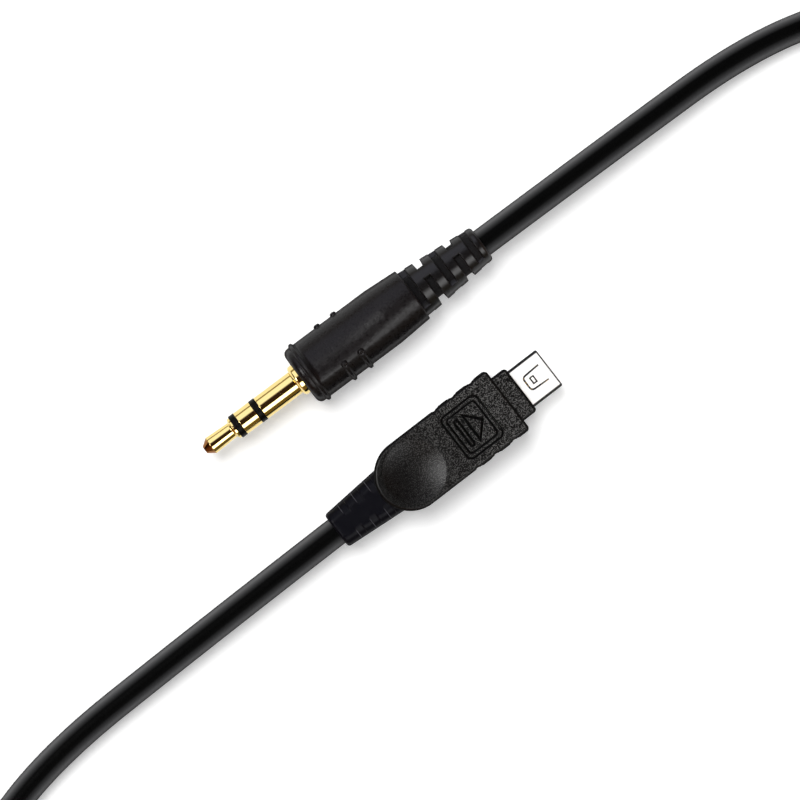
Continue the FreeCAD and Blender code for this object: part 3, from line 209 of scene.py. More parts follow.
# The pin of the jack: three contacts of brass, turned and gold plated, and two black insulating rings.
# They are nested tubes on the tip contact's rod, pressed together and ground to one diameter. Stations are
# counted along the plug from the nose, and widths of round pieces are radii.
JACK_NOSE = (-24.18, -8.59, JACK_LEVEL)
JACK_HEADING = 36.8
JACK_ROLL = -28.0
PIN = 3.5 / 2
CONTACT = PIN - 0.02
TIP_NECK = 1.15
TIP_RIM = 1.59
COLLAR_RIM = 2.30
TAIL = 2.00
TAIL_GROOVE = 1.65
ROD, TIP_TUBE, RING_TUBE, SLEEVE_TUBE = 0.45, 0.75, 1.05, 1.35
TIP_END, RING_START, RING_END, SLEEVE_START = 5.16, 6.01, 8.61, 9.46
COLLAR, CORE = 15.40, 17.27
GROOVE_START, GROOVE_END = 18.24, 19.04
SLEEVE_TAIL, RING_RING_TAIL, RING_TAIL, TIP_RING_TAIL, ROD_TAIL = 20.00, 20.60, 20.95, 21.50, 22.27
PIN_TURNS = 160


def plug_axes(heading, roll):
    """Rows are the plug's X, along its axis, its Y and its Z: turned to the heading, then rolled about X."""
    turn = math.radians(heading)
    tilt = math.radians(roll)
    along = np.array([math.cos(turn), math.sin(turn), 0.0])
    side = np.array([-math.sin(turn), math.cos(turn), 0.0])
    up = np.array([0.0, 0.0, 1.0])
    return np.array([along, math.cos(tilt) * side + math.sin(tilt) * up,
                     math.cos(tilt) * up - math.sin(tilt) * side])


JACK_AXES = plug_axes(JACK_HEADING, JACK_ROLL)


def eased(corners, steps=5, hold=0.03):
    """An outline of (station, radius, round) corners, each with a round replaced by its tangent arc:
    the arc starts round x tan(half the turn) before the corner and ends as far after it. One more point
    just before and after the arc keeps the shading of the straight stretches straight."""
    points = []
    for number, (station, radius, rounding) in enumerate(corners):
        here = np.array([station, radius])
        if rounding == 0:
            points.append(here)
            continue
        before = np.array(corners[number - 1][:2]) - here
        after = np.array(corners[(number + 1) % len(corners)][:2]) - here
        before /= np.linalg.norm(before)
        after /= np.linalg.norm(after)
        half_turn = (math.pi - math.acos(float(np.clip(before @ after, -1, 1)))) / 2
        reach = rounding * math.tan(half_turn)
        centre = here + (before + after) / np.linalg.norm(before + after) * rounding / math.cos(half_turn)
        start, end = here + reach * before - centre, here + reach * after - centre
        points.append(here + (reach + hold) * before)
        for share in np.linspace(0, 1, steps + 1):
            spoke = (1 - share) * start + share * end
            points.append(centre + spoke / np.linalg.norm(spoke) * rounding)
        points.append(here + (reach + hold) * after)
    return np.array(points)


def skin(name, grids, origin, axes, material, sharp=None):
    """A closed mesh from grids of points in a plug's own millimetres. Each grid is (points, wrap rows,
    wrap columns); rows that shrink to a point become one vertex, and the faces are turned outwards."""
    mesh = bpy.data.meshes.new(name)
    points, faces, first = [], [], 0
    for grid, wrap_rows, wrap_columns in grids:
        rows, columns = grid.shape[:2]
        index = first + np.arange(rows * columns).reshape(rows, columns)
        if wrap_rows:
            index = np.vstack([index, index[:1]])
        if wrap_columns:
            index = np.hstack([index, index[:, :1]])
        corners = [index[:-1, :-1], index[1:, :-1], index[1:, 1:], index[:-1, 1:]]
        faces.append(np.stack(corners, -1).reshape(-1, 4))
        points.append(grid.reshape(-1, 3))
        first += rows * columns
    placed = (np.array(origin) + np.concatenate(points) @ axes) * MM
    mesh.from_pydata(placed, [], np.concatenate(faces), shade_flat=False)
    shape = bmesh.new()
    shape.from_mesh(mesh)
    bmesh.ops.remove_doubles(shape, verts=shape.verts, dist=2e-7)
    open_edges = [edge for edge in shape.edges if edge.is_boundary]
    if open_edges:
        bmesh.ops.holes_fill(shape, edges=open_edges, sides=0)
    bmesh.ops.recalc_face_normals(shape, faces=shape.faces)
    for face in shape.faces:
        face.smooth = True
    shape.to_mesh(mesh)
    shape.free()
    if sharp:
        mesh.set_sharp_from_angle(angle=math.radians(sharp))
    mesh.materials.append(material)
    return add_object(name, mesh)


def turned(stations, radii, angles):
    """Rows swept round X: at each angle from the plug's Z, Y is radius x sine and Z radius x cosine."""
    stations = np.repeat(stations, len(angles), axis=1)
    return np.stack([stations, radii * np.sin(angles), radii * np.cos(angles)], -1)


def place_from(tree, point):
    """The vector from a point, given in millimetres, to the place that is being shaded."""
    place = add_node(tree, "TexCoord")
    return add_node(tree, "VectorMath", {1: [MM * number for number in point]}, {0: place.outputs["Object"]},
                    operation="SUBTRACT").outputs["Vector"]


def blend_colours(material, share, first, second):
    """Colours a material: the first colour where the share is 0, the second where it is 1."""
    blend = add_node(material.node_tree, "Mix", {"A": linear(first), "B": linear(second)}, {"Factor": share},
                     data_type="RGBA")
    feed(material, "Base Color", blend.outputs["Result"])


# Gold plate over turned brass: a mirror with the faintest drawn haze, so it shows its surroundings in bands.
# The cone of the nose takes all the rubbing of the socket and is worn down to the copper under the gold.
WORN_NOSE = (0.95, 1.15)

gold_plate = new_material("gold_plated_brass", "#e8c67c", Metallic=1.0, Roughness=0.09)
add_grain(gold_plate, 0.25, 0.0006, roughness=(0.07, 0.11))
gold_tree = gold_plate.node_tree
along_pin = add_node(gold_tree, "VectorMath", {1: JACK_AXES[0]}, {0: place_from(gold_tree, JACK_NOSE)},
                     operation="DOT_PRODUCT")
plated = add_node(gold_tree, "MapRange", {"From Min": WORN_NOSE[0] * MM, "From Max": WORN_NOSE[1] * MM},
                  {"Value": along_pin.outputs["Value"]})
blend_colours(gold_plate, plated.outputs["Result"], "#86592f", "#e2cb85")

# Moulded insulator: hard black plastic, ground flush with the pin and so a dull satin
insulator_black = new_material("ground_black_nylon", "#080706", Roughness=0.35, IOR=1.53,
                               Specular_IOR_Level=0.05)
add_grain(insulator_black, 0.10, 0.004)

# Each outline runs through (station, radius, round) corners
PIN_PIECES = {
    "jack_tip_contact": (gold_plate, "gold_plated_brass", "tip_contact_gold", (
        (0, 0, 0), (0, 0.55, 0.10), (1.03, 1.30, 0.12), (4.34, TIP_NECK, 0.10), (4.60, TIP_NECK, 0.12),
        (4.85, TIP_RIM, 0.06), (TIP_END, TIP_RIM, 0.04), (TIP_END, ROD, 0), (ROD_TAIL, ROD, 0),
        (ROD_TAIL, 0, 0))),
    "jack_tip_insulator": (insulator_black, "black_insulator", "tip_insulator_ring", (
        (TIP_END, ROD, 0), (TIP_END, PIN, 0.03), (RING_START, PIN, 0.03), (RING_START, TIP_TUBE, 0),
        (TIP_RING_TAIL, TIP_TUBE, 0), (TIP_RING_TAIL, ROD, 0))),
    "jack_ring_contact": (gold_plate, "gold_plated_brass", "ring_contact_gold", (
        (RING_START, TIP_TUBE, 0), (RING_START, CONTACT, 0.07), (RING_END, CONTACT, 0.07),
        (RING_END, RING_TUBE, 0), (RING_TAIL, RING_TUBE, 0), (RING_TAIL, TIP_TUBE, 0))),
    "jack_ring_insulator": (insulator_black, "black_insulator", "ring_insulator_ring", (
        (RING_END, RING_TUBE, 0), (RING_END, PIN, 0.03), (SLEEVE_START, PIN, 0.03),
        (SLEEVE_START, SLEEVE_TUBE, 0), (RING_RING_TAIL, SLEEVE_TUBE, 0), (RING_RING_TAIL, RING_TUBE, 0))),
    "jack_sleeve_contact": (gold_plate, "gold_plated_brass", "sleeve_contact_gold", (
        (SLEEVE_START, SLEEVE_TUBE, 0), (SLEEVE_START, CONTACT, 0.07), (COLLAR - 0.10, CONTACT, 0.05),
        (COLLAR - 0.06, PIN - 0.09, 0), (COLLAR, CONTACT, 0), (COLLAR, 2.02, 0.18),
        (COLLAR + 0.28, COLLAR_RIM, 0.28), (CORE, COLLAR_RIM, 0), (CORE, TAIL, 0), (GROOVE_START, TAIL, 0),
        (GROOVE_START, TAIL_GROOVE, 0), (GROOVE_END, TAIL_GROOVE, 0), (GROOVE_END, TAIL, 0),
        (SLEEVE_TAIL, TAIL, 0), (SLEEVE_TAIL, SLEEVE_TUBE, 0))),
}
even_turns = np.linspace(0, 2 * math.pi, PIN_TURNS, endpoint=False)
for node, (material, slot, name, corners) in PIN_PIECES.items():
    on_axis = corners[0][1] == 0
    outline = eased(corners)
    pin_grid = turned(outline[:, :1], outline[:, 1:], even_turns)
    piece = skin(name, [(pin_grid, not on_axis, True)], JACK_NOSE, JACK_AXES, material, sharp=40)
    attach(piece, "link_cable")
    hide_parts(node)


# The barrel of the jack: moulded from black soft PVC over the inner mould. Three grip ribs go round it;
# the two rear ones stop in round beads at a smooth, flatter top face that runs out towards the rear.
BARREL_FRONT = 16.27
BARREL_LENGTH = 19.0
BARREL_RADIUS = 8.66 / 2
BARREL_REAR_RADIUS = 8.0 / 2
BARREL_STRAIGHT = 14.0
BARREL_EDGE = 0.85
BARREL_REAR_EDGE = 0.18
BARREL_HOLE = COLLAR_RIM
BARREL_END_WALL = 1.0
BARREL_BORE = 6.4 / 2
FRONT_RIB = 1.5
SHORT_RIBS = (5.95, 8.7)
RIB_FOOT = 0.85
RIB_CREST = 0.3
RIB_HEIGHT = 0.33
BEAD_RADIUS = 0.48
BEAD_RISE = 1.3
BEAD_DIMPLE = 0.55
DIMPLE_REACH = (0.05, 0.7 * BEAD_RADIUS)
CROWN_HALF_ANGLE = math.radians(57)
CROWN_RADIUS = 5.2
CROWN_START = (1.90, 2.15)
CROWN_FADE = (7.0, 18.0)
CREASE_EASE = 0.03
RIB_END = (CROWN_HALF_ANGLE - 0.02, CROWN_HALF_ANGLE + 0.04)
BARREL_TURNS = 320
BARREL_STEP = 0.2
RIB_OFFSETS = np.linspace(-0.5, 0.5, 21)


def step_up(value, low, high):
    """Rises from 0 at low to 1 at high with level ends: three squares less two cubes of the share."""
    share = np.clip((value - low) / (high - low), 0, 1)
    return share * share * (3 - 2 * share)


def crowded(low, high, step, places, offsets):
    """Stations from low to high about a step apart, and one at each offset from each place."""
    even = np.linspace(low, high, round((high - low) / step) + 1)
    extra = np.add.outer(np.array(places), np.array(offsets)).ravel()
    return np.unique(np.concatenate([even, extra[(extra > low) & (extra < high)]]).round(5))


def rib(station, place):
    """Height of a rib, from 0 to 1: level over its crest and eased down to its foot."""
    return 1 - step_up(np.abs(station - place), RIB_CREST / 2, RIB_FOOT / 2)


def barrel_surface(station, angle):
    """Radius of the barrel. The body is round and tapers at its rear. The crown is a larger circle set
    below the axis, so it cuts the body flatter between the creases, and the cut fades out rearwards.
    Ribs add their height, the short ones only outside the creases, and each bead adds a dome with a
    dimple in its middle."""
    body = BARREL_RADIUS - (BARREL_RADIUS - BARREL_REAR_RADIUS) * np.clip(
        (station - BARREL_STRAIGHT) / (BARREL_LENGTH - BARREL_STRAIGHT), 0, 1)
    crease = (BARREL_RADIUS * math.sin(CROWN_HALF_ANGLE), BARREL_RADIUS * math.cos(CROWN_HALF_ANGLE))
    below = crease[1] - math.sqrt(CROWN_RADIUS ** 2 - crease[0] ** 2)
    crown = below * np.cos(angle) + np.sqrt(CROWN_RADIUS ** 2 - (below * np.sin(angle)) ** 2)
    over = BARREL_RADIUS - crown
    cut = (over + np.sqrt(over ** 2 + CREASE_EASE ** 2)) / 2 * (np.cos(angle) > 0)
    cut = cut * step_up(station, *CROWN_START)
    surface = body - cut * (1 - step_up(station, *CROWN_FADE))
    off_crown = step_up(np.abs(angle), *RIB_END)
    surface = surface + RIB_HEIGHT * rib(station, FRONT_RIB)
    for place in SHORT_RIBS:
        away = np.hypot(station - place, BARREL_RADIUS * (np.abs(angle) - CROWN_HALF_ANGLE))
        dome = np.sqrt(np.clip(1 - (away / BEAD_RADIUS) ** 2, 0, 1))
        dome = dome - BEAD_DIMPLE * (1 - step_up(away, *DIMPLE_REACH))
        surface = surface + RIB_HEIGHT * np.maximum(rib(station, place) * off_crown, BEAD_RISE * dome)
    return surface


barrel_base = eased((
    (BARREL_END_WALL, BARREL_HOLE, 0), (0, BARREL_HOLE, 0.08), (0, BARREL_RADIUS, BARREL_EDGE),
    (BARREL_STRAIGHT, BARREL_RADIUS, 0), (BARREL_LENGTH, BARREL_REAR_RADIUS, BARREL_REAR_EDGE),
    (BARREL_LENGTH, BARREL_BORE, 0), (BARREL_END_WALL, BARREL_BORE, 0)), steps=8)
flank_start = np.flatnonzero(barrel_base[:, 1] >= BARREL_RADIUS - 1e-6)[0]
flank_end = np.flatnonzero(barrel_base[:, 0] > BARREL_STRAIGHT + 1)[0]
flank = crowded(BARREL_EDGE, barrel_base[flank_end, 0], BARREL_STEP, (FRONT_RIB, *SHORT_RIBS),
                RIB_OFFSETS)[1:-1]
barrel_outline = np.vstack([barrel_base[:flank_start + 1], [(station, BARREL_RADIUS) for station in flank],
                            barrel_base[flank_end:]])
barrel_angles = np.linspace(-math.pi, math.pi, BARREL_TURNS, endpoint=False)
barrel_radii = np.repeat(barrel_outline[:, 1:], BARREL_TURNS, axis=1)
on_flank = slice(flank_start, flank_start + len(flank) + 1)
barrel_radii[on_flank] = barrel_surface(barrel_outline[on_flank, :1], barrel_angles)
barrel_grid = turned(BARREL_FRONT + barrel_outline[:, :1], barrel_radii, barrel_angles)

# Moulded soft PVC: warm black and satin, with the cloudy mottling that a matt mould gives a soft plastic
barrel_pvc = new_material("moulded_soft_pvc", "#110f10", Roughness=0.36, IOR=1.45, Specular_IOR_Level=0.19)
add_grain(barrel_pvc, 0.40, 0.030, roughness=(0.25, 0.38), detail=5.0)
dull_walls(barrel_pvc, 0.25, 0.60)

barrel = skin("barrel_sleeve", [(barrel_grid, True, True)], JACK_NOSE, JACK_AXES, barrel_pvc, sharp=50)
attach(barrel, "link_cable")
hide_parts("jack_barrel")


# The strain relief of the jack: a tapered sleeve of softer black PVC, moulded on the cable. Slots are cut
# from its two faces and from its two sides in turn, so it bends like a row of links.
RELIEF_SPIGOT = 33.20
RELIEF_FRONT = 35.27
RELIEF_REAR = 46.97
RELIEF_FRONT_RADIUS = 7.3 / 2
RELIEF_REAR_RADIUS = 5.35 / 2
RELIEF_REAR_EDGE = 0.45
RELIEF_LENGTH = RELIEF_REAR - RELIEF_FRONT
RELIEF_SEAT = RELIEF_SPIGOT - RELIEF_FRONT
RELIEF_DULL = (0.03, 0.20)
SLOT_FLOOR = 4.8 / 2
SLOT_WIDTH = 1.03
FACE_SLOTS = (0.6, 5.4, 10.2)
SIDE_SLOTS = (3.0, 7.8)
FACE_SPAN = math.radians(144)
SIDE_SPAN = math.radians(150)
SLOT_EASE = 0.09
WALL_OFFSETS = np.array([-1.3, -1.0, -0.7, -0.35, 0, 0.35, 0.7, 1.0, 1.3]) * SLOT_EASE
SLEEVE_STEP = 0.25
SLEEVE_TURN = math.radians(2)


def slot_depth(station, angle, middles, span, turn):
    """From 0 outside to 1 inside the slots of one family, whose middles stand turn radians from Z: the
    product of how far a point is in from the slot's two ends along X and from its two ends round X."""
    around = np.abs((angle - turn + math.pi / 2) % math.pi - math.pi / 2)
    inside = step_up((span / 2 - around) * SLOT_FLOOR, -SLOT_EASE, SLOT_EASE)
    depth = np.zeros(np.broadcast(station, angle).shape)
    for middle in middles:
        away = np.abs(station - middle)
        depth = np.maximum(depth, step_up(SLOT_WIDTH / 2 - away, -SLOT_EASE, SLOT_EASE) * inside)
    return depth


slot_ends = [middle + side * SLOT_WIDTH / 2 for middle in (*FACE_SLOTS, *SIDE_SLOTS) for side in (-1, 1)]
sleeve = crowded(0, RELIEF_LENGTH - RELIEF_REAR_EDGE, SLEEVE_STEP, slot_ends, WALL_OFFSETS)
slope = (RELIEF_REAR_RADIUS - RELIEF_FRONT_RADIUS) / RELIEF_LENGTH
relief_rear = eased(((0, RELIEF_FRONT_RADIUS, 0), (RELIEF_LENGTH, RELIEF_REAR_RADIUS, RELIEF_REAR_EDGE),
                     (RELIEF_LENGTH, CABLE_DIAMETER / 2, 0)), steps=8)[1:]
relief_spigot = [[RELIEF_SEAT, CABLE_DIAMETER / 2], [RELIEF_SEAT, BARREL_BORE], [0, BARREL_BORE]]
relief_outline = np.vstack([
    relief_spigot, np.stack([sleeve, RELIEF_FRONT_RADIUS + slope * sleeve], -1), relief_rear])
end_angles = [side * angle for side in (-1, 1) for angle in
              (FACE_SPAN / 2, math.pi - FACE_SPAN / 2, (math.pi - SIDE_SPAN) / 2, (math.pi + SIDE_SPAN) / 2)]
relief_angles = crowded(-math.pi, math.pi, SLEEVE_TURN, end_angles, WALL_OFFSETS / SLOT_FLOOR)[:-1]
relief_stations, uncut = relief_outline[:, :1], relief_outline[:, 1:]
slotted = np.maximum(slot_depth(relief_stations, relief_angles, FACE_SLOTS, FACE_SPAN, 0),
                     slot_depth(relief_stations, relief_angles, SIDE_SLOTS, SIDE_SPAN, math.pi / 2))
slotted[:len(relief_spigot)] = 0
relief_radii = uncut - slotted * np.clip(uncut - SLOT_FLOOR, 0, None)
relief_grid = turned(RELIEF_FRONT + relief_stations, relief_radii, relief_angles)

# Softer moulded PVC: the same black, a little glossier where the mould was smooth and dull in the slots
relief_pvc = new_material("soft_relief_pvc", "#0b0a0b", Roughness=0.34, IOR=1.45, Specular_IOR_Level=0.33)
add_grain(relief_pvc, 0.5, 0.008)
relief_tree = relief_pvc.node_tree
arm = add_node(relief_tree, "VectorMath", {1: JACK_AXES[0]}, {0: place_from(relief_tree, JACK_NOSE)},
               operation="CROSS_PRODUCT")
off_axis = add_node(relief_tree, "VectorMath", links={0: arm.outputs["Vector"]}, operation="LENGTH")
dull_slots = add_node(relief_tree, "MapRange",
                      {"From Min": (SLOT_FLOOR + RELIEF_DULL[0]) * MM,
                       "From Max": (SLOT_FLOOR + RELIEF_DULL[1]) * MM, "To Min": 0.90, "To Max": 0.28},
                      {"Value": off_axis.outputs["Value"]})
feed(relief_pvc, "Roughness", dull_slots.outputs["Result"])
dull_walls(relief_pvc, 0.25, 0.60)

relief = skin("jack_relief_sleeve", [(relief_grid, True, True)], JACK_NOSE, JACK_AXES, relief_pvc, sharp=60)
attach(relief, "link_cable")
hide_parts("jack_strain_relief")


# The metal shell of the camera plug and its latch tongue: drawn and stamped steel with bright nickel
# plate. The tongue bends inwards at its root, and its raised catch snaps into the camera's socket.
PLUG_MOUTH = (22.62, 2.66, PLUG_LEVEL)
PLUG_HEADING = 217.6
SHEET = 0.3
SHEET_EDGE = 0.07
MOUTH_LIP = 0.24
BENT_ANGLE = math.radians(40)
ROOT_LINE = 1.0
ROOT_BAND = 0.06
ROOT_SEAM = 0.035
CATCH_HEIGHT = 0.22
CATCH_DRAFT = 0.10
NEAR = 0.01


def finished_copy(node, name, material):
    """A copy of a plain solid with its flat faces joined and its edges rolled over by a small bevel, wider
    round the outside of the mouth. The top of the tongue's root comes up to the shell's metal, which it
    bends out of, with room below to flex, and its catch's walls lean in by the draft over their height."""
    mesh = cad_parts[node].data.copy()
    mesh.name = name
    shape = bmesh.new()
    shape.from_mesh(mesh)
    bmesh.ops.remove_doubles(shape, verts=shape.verts, dist=1e-6)
    bmesh.ops.dissolve_limit(shape, angle_limit=math.radians(1), verts=shape.verts, edges=shape.edges)
    for face in shape.faces:
        face.smooth = True
    inwards, sideways = (Vector(axis) for axis in plug_axes(PLUG_HEADING, 0.0)[:2])
    place = {vertex: vertex.co / MM - Vector(PLUG_MOUTH) for vertex in shape.verts}
    station = {vertex: point.dot(inwards) for vertex, point in place.items()}
    half_width = max(abs(point.dot(sideways)) for point in place.values())
    half_height = max(abs(point.z) for point in place.values())
    weight = shape.edges.layers.float.new("bevel_weight_edge")
    for edge in shape.edges:
        if all(abs(station[vertex] - ROOT_LINE) < ROOT_BAND for vertex in edge.verts):
            edge.smooth = False
        elif edge.calc_face_angle(0) > BENT_ANGLE:
            at_mouth = max(station[vertex] for vertex in edge.verts) < NEAR
            outside = all(half_width - abs(place[vertex].dot(sideways)) < SHEET / 2
                          or half_height - abs(place[vertex].z) < SHEET / 2 for vertex in edge.verts)
            edge[weight] = 1.0 if at_mouth and outside else SHEET_EDGE / MOUTH_LIP
    if node == "plug_latch_tongue":
        sheet_top = min(point.z for point in place.values()) + SHEET
        crest = [vertex for vertex in shape.verts if place[vertex].z > sheet_top + NEAR]
        middle = sum((place[vertex] for vertex in crest), Vector()) / len(crest)
        for vertex in crest:
            lean = (place[vertex].z - sheet_top) / CATCH_HEIGHT * CATCH_DRAFT * MM
            off_middle = place[vertex] - middle
            for axis in (inwards, sideways):
                vertex.co -= axis * math.copysign(lean, off_middle.dot(axis))
        front = min(station.values())
        for vertex in shape.verts:
            if station[vertex] < front + NEAR and place[vertex].z > sheet_top - SHEET / 2:
                vertex.co -= inwards * ROOT_SEAM * MM
    shape.to_mesh(mesh)
    shape.free()
    mesh.materials.clear()
    mesh.materials.append(material)
    piece = add_object(name, mesh)
    bevel = piece.modifiers.new("rolled_edge", "BEVEL")
    bevel.width = MOUTH_LIP * MM
    bevel.segments = 3
    bevel.limit_method = "WEIGHT"
    bevel.use_clamp_overlap = False
    flats = piece.modifiers.new("even_flats", "WEIGHTED_NORMAL")
    flats.weight = 100
    flats.keep_sharp = True
    return piece


# Bright nickel over drawn steel: nearly white on its flats and walls, with a fine satin haze. Its colour is
# painted near black wherever the surface slopes, over the bends, the lip and the cut edges, as painted shade
# that outlines them.
EDGE_SHADE_BY_SLANT = ((0.06, "#f6f5f2"), (0.16, "#070707"), (0.955, "#070707"), (0.995, "#f6f5f2"))

nickel = new_material("nickel_plated_steel", "#ffffff", Metallic=0.45, Roughness=0.45)
add_grain(nickel, 0.15, 0.0003, roughness=(0.42, 0.48))
# painted shade: the colour goes near black on every slope, outlining the bends and edges
feed(nickel, "Base Color", slant_colour(nickel.node_tree, EDGE_SHADE_BY_SLANT))

for node, name, body in (("plug_shell", "drawn_shell", "link_cable"),
                         ("plug_latch_tongue", "stamped_tongue", "latch")):
    piece = finished_copy(node, name, nickel)
    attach(piece, body)
    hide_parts(node)


# The housing of the camera plug: two covers of moulded black ABS with a spark-eroded grain, closed on the
# inner mould. The upper one has the thumb dish and the arrow panel; both have grip lobes and hollows.
# Stations are counted from the mouth, and levels up from the plug's middle.
NECK_FRONT = 4.85
NECK_HALF_WIDTH = 7.26 / 2
NECK_HALF_HEIGHT = 4.4 / 2
NECK_EDGE = 0.5
SHOULDER = 7.18
HALF_WIDTH = 9.9 / 2
FACE = 7.2 / 2
HOUSING_EDGE = 0.45
REAR_CENTRE = 23.83
GRIP_PITCH = 3.1
GRIPS = 3
HOLLOW_PLACE = 2.65
HOLLOW_RADIUS = 1.3 / 2
HOLLOW_DEPTH = 0.11
LOBE_PLACE = 1.1
LOBE_FADE = (0.64, 1.0)
LOBE_HEIGHT = 0.10
LOBE_TOP = FACE - 0.5
LOBE_TOP_EASE = 0.12
FLANK_SHARE = 0.6
DISH_PLACE = SHOULDER + 16.0
DISH_RADIUS = 4.4
DISH_DEPTH = 0.6
DISH_EASE = 0.03
PANEL_PLACE = SHOULDER + 3.1
PANEL_SIZE = (5.98, 6.95)
PANEL_CORNER = 0.85
PANEL_RIM = 0.62
PANEL_STEP = 0.2
PANEL_EASE = 0.07
BAR_MIDDLE = SHOULDER + 7.42
BAR_SIZE = (0.62, 4.2)
BAR_CORNER = 0.29
ARROW_POINT = SHOULDER + 4.27
ARROW_LENGTH = 1.98
ARROW_WIDTH = 4.25
MARK_HEIGHT = 0.3
MARK_SLOPE = (0.04, 0.20)
LINE_WIDTH = 0.08
LINE_DEPTH = 0.28
PARTING_DEPTH = 0.07
PARTING_HEIGHT = 0.08
FINE_STEP = 0.05
FINE_END = SHOULDER + 9.6
FINE_SIDE = 3.72
PLAIN_STEP = 0.18


def box_distance(along, across, middle, size, corner):
    """Distance inwards from the edge of a rounded rectangle, negative outside: the corner radius less the
    distance from the rectangle that the corner centres stand on."""
    reach_x = np.abs(along - middle) - (size[0] / 2 - corner)
    reach_y = np.abs(across) - (size[1] / 2 - corner)
    outside = np.hypot(np.maximum(reach_x, 0), np.maximum(reach_y, 0))
    return corner - outside - np.minimum(np.maximum(reach_x, reach_y), 0)


def arrow_distance(along, across):
    """Distance inwards from the edge of the arrow: the least of those from its back and its two slopes."""
    slope_length = math.hypot(ARROW_LENGTH, ARROW_WIDTH / 2)
    back = ARROW_POINT + ARROW_LENGTH - along
    side = ((along - ARROW_POINT) * ARROW_WIDTH / 2 - np.abs(across) * ARROW_LENGTH) / slope_length
    return np.minimum(back, side)


def dark_line(distance):
    """Cross-section of a fine moulded line along an edge, from 0 far away to 1 on the edge."""
    return np.exp(-(distance / LINE_WIDTH) ** 2)


def panel_relief(along, across):
    """Height of the arrow panel against the face: one step down into the rim, one more into the field,
    the arrow and bar raised from it, and a fine line moulded along each edge."""
    middle = PANEL_PLACE + PANEL_SIZE[0] / 2
    rim = box_distance(along, across, middle, PANEL_SIZE, PANEL_CORNER)
    field_size = (PANEL_SIZE[0] - 2 * PANEL_RIM, PANEL_SIZE[1] - 2 * PANEL_RIM)
    field = box_distance(along, across, middle, field_size, PANEL_CORNER - PANEL_RIM / 2)
    bar = box_distance(along, across, BAR_MIDDLE, BAR_SIZE, BAR_CORNER)
    mark = np.maximum(bar, arrow_distance(along, across))
    height = -PANEL_STEP * sum(step_up(distance, -PANEL_EASE, PANEL_EASE) for distance in (rim, field))
    height = height + MARK_HEIGHT * step_up(mark, *MARK_SLOPE)
    return height - LINE_DEPTH * (dark_line(rim) + dark_line(field) + dark_line(mark))


def dish_relief(along, across):
    """Depth of the thumb dish: a ball that sinks DISH_DEPTH into the face, with an eased rim."""
    ball = (DISH_RADIUS ** 2 + DISH_DEPTH ** 2) / (2 * DISH_DEPTH)
    away = np.minimum(np.hypot(along - DISH_PLACE, across), DISH_RADIUS * 1.3)
    sink = np.sqrt(ball ** 2 - away ** 2) - (ball - DISH_DEPTH)
    return -(sink + np.sqrt(sink ** 2 + DISH_EASE ** 2)) / 2


def off_grip(along, place):
    """Distance to the nearest of the grips, which follow each other from a place behind the shoulder."""
    middles = SHOULDER + place + np.arange(GRIPS) * GRIP_PITCH
    return np.abs(np.subtract.outer(along, middles)).min(axis=-1)


def grip_hollows(along):
    """How far the flank is set in by the round hollows: each is a circle that stands mostly outside."""
    circle = np.sqrt(np.clip(HOLLOW_RADIUS ** 2 - off_grip(along, HOLLOW_PLACE) ** 2, 0, None))
    return np.maximum(0, circle - (HOLLOW_RADIUS - HOLLOW_DEPTH))


def grip_lobes(along):
    """How far the flank stands out at the lobes: full over most of their length and eased to their ends."""
    return LOBE_HEIGHT * (1 - step_up(off_grip(along, LOBE_PLACE), *LOBE_FADE))


def round_over(distance, edge):
    """Drop of a rounded edge at a distance in from the outline: a quarter circle of the edge's radius."""
    inner = np.clip(edge - distance, 0, edge)
    return edge - np.sqrt(edge ** 2 - inner ** 2)


def front_distance(ahead, beside, edge):
    """Distance inwards from a straight front and a flank that meet in a corner rounded by the edge."""
    corner = edge - np.hypot(edge - ahead, edge - beside)
    return np.where((ahead < edge) & (beside < edge), corner, np.minimum(ahead, beside))


def housing_half_width(along):
    """Half width of the plan: the flank less the hollows, a round at the shoulder and a round rear."""
    front = round_over(along - SHOULDER, HOUSING_EDGE)
    rear = np.sqrt(np.clip(HALF_WIDTH ** 2 - np.clip(along - REAR_CENTRE, 0, HALF_WIDTH) ** 2, 0, None))
    return rear - front - grip_hollows(along)


def housing_distance(along, across):
    """Distance inwards from the plan's outline: from the round rear, or from the shoulder and flank."""
    rear = HALF_WIDTH - np.hypot(along - REAR_CENTRE, across)
    beside = HALF_WIDTH - grip_hollows(along) - np.abs(across)
    return np.where(along > REAR_CENTRE, rear, front_distance(along - SHOULDER, beside, HOUSING_EDGE))


def neck_half_width(along):
    """Half width of the neck: straight, with rounded front corners."""
    return NECK_HALF_WIDTH - round_over(along - NECK_FRONT, NECK_EDGE)


def neck_distance(along, across):
    """Distance inwards from the neck's outline, which is open towards the housing."""
    return front_distance(along - NECK_FRONT, NECK_HALF_WIDTH - np.abs(across), NECK_EDGE)


def capped_block(along, shares, half_width, distance, height, edge, relief, bulge, levels):
    """Two grids: the outer face, whose points stand at shares of the half width at each station and drop
    at the outline by the rounded edge, and the wall from that outline straight down. Bulge sets the wall
    out on the flanks only, not on a front or round rear."""
    across = shares[None, :] * half_width(along)[:, None]
    stations = np.repeat(along[:, None], len(shares), axis=1)
    inwards = np.clip(distance(stations, across), 0, None)
    top = height - round_over(inwards, edge) + relief(stations, across) * step_up(inwards, 0, edge)
    face = np.stack([stations, across, top], -1)
    outline = np.vstack([face[0, :], face[1:, -1], face[-1, -2::-1], face[-2:0:-1, 0]])
    wall = np.repeat(outline[None, :, :], len(levels), axis=0)
    wall[:, :, 2] = levels[:, None]
    out = bulge(outline[None, :, 0], levels[:, None]) * np.sign(outline[None, :, 1])
    wall[:, :, 1] += out * (np.abs(outline[None, :, 1]) > FLANK_SHARE * np.abs(outline[:, 1]).max())
    wall[0] = outline
    return [(face, False, False), (wall, False, True)]


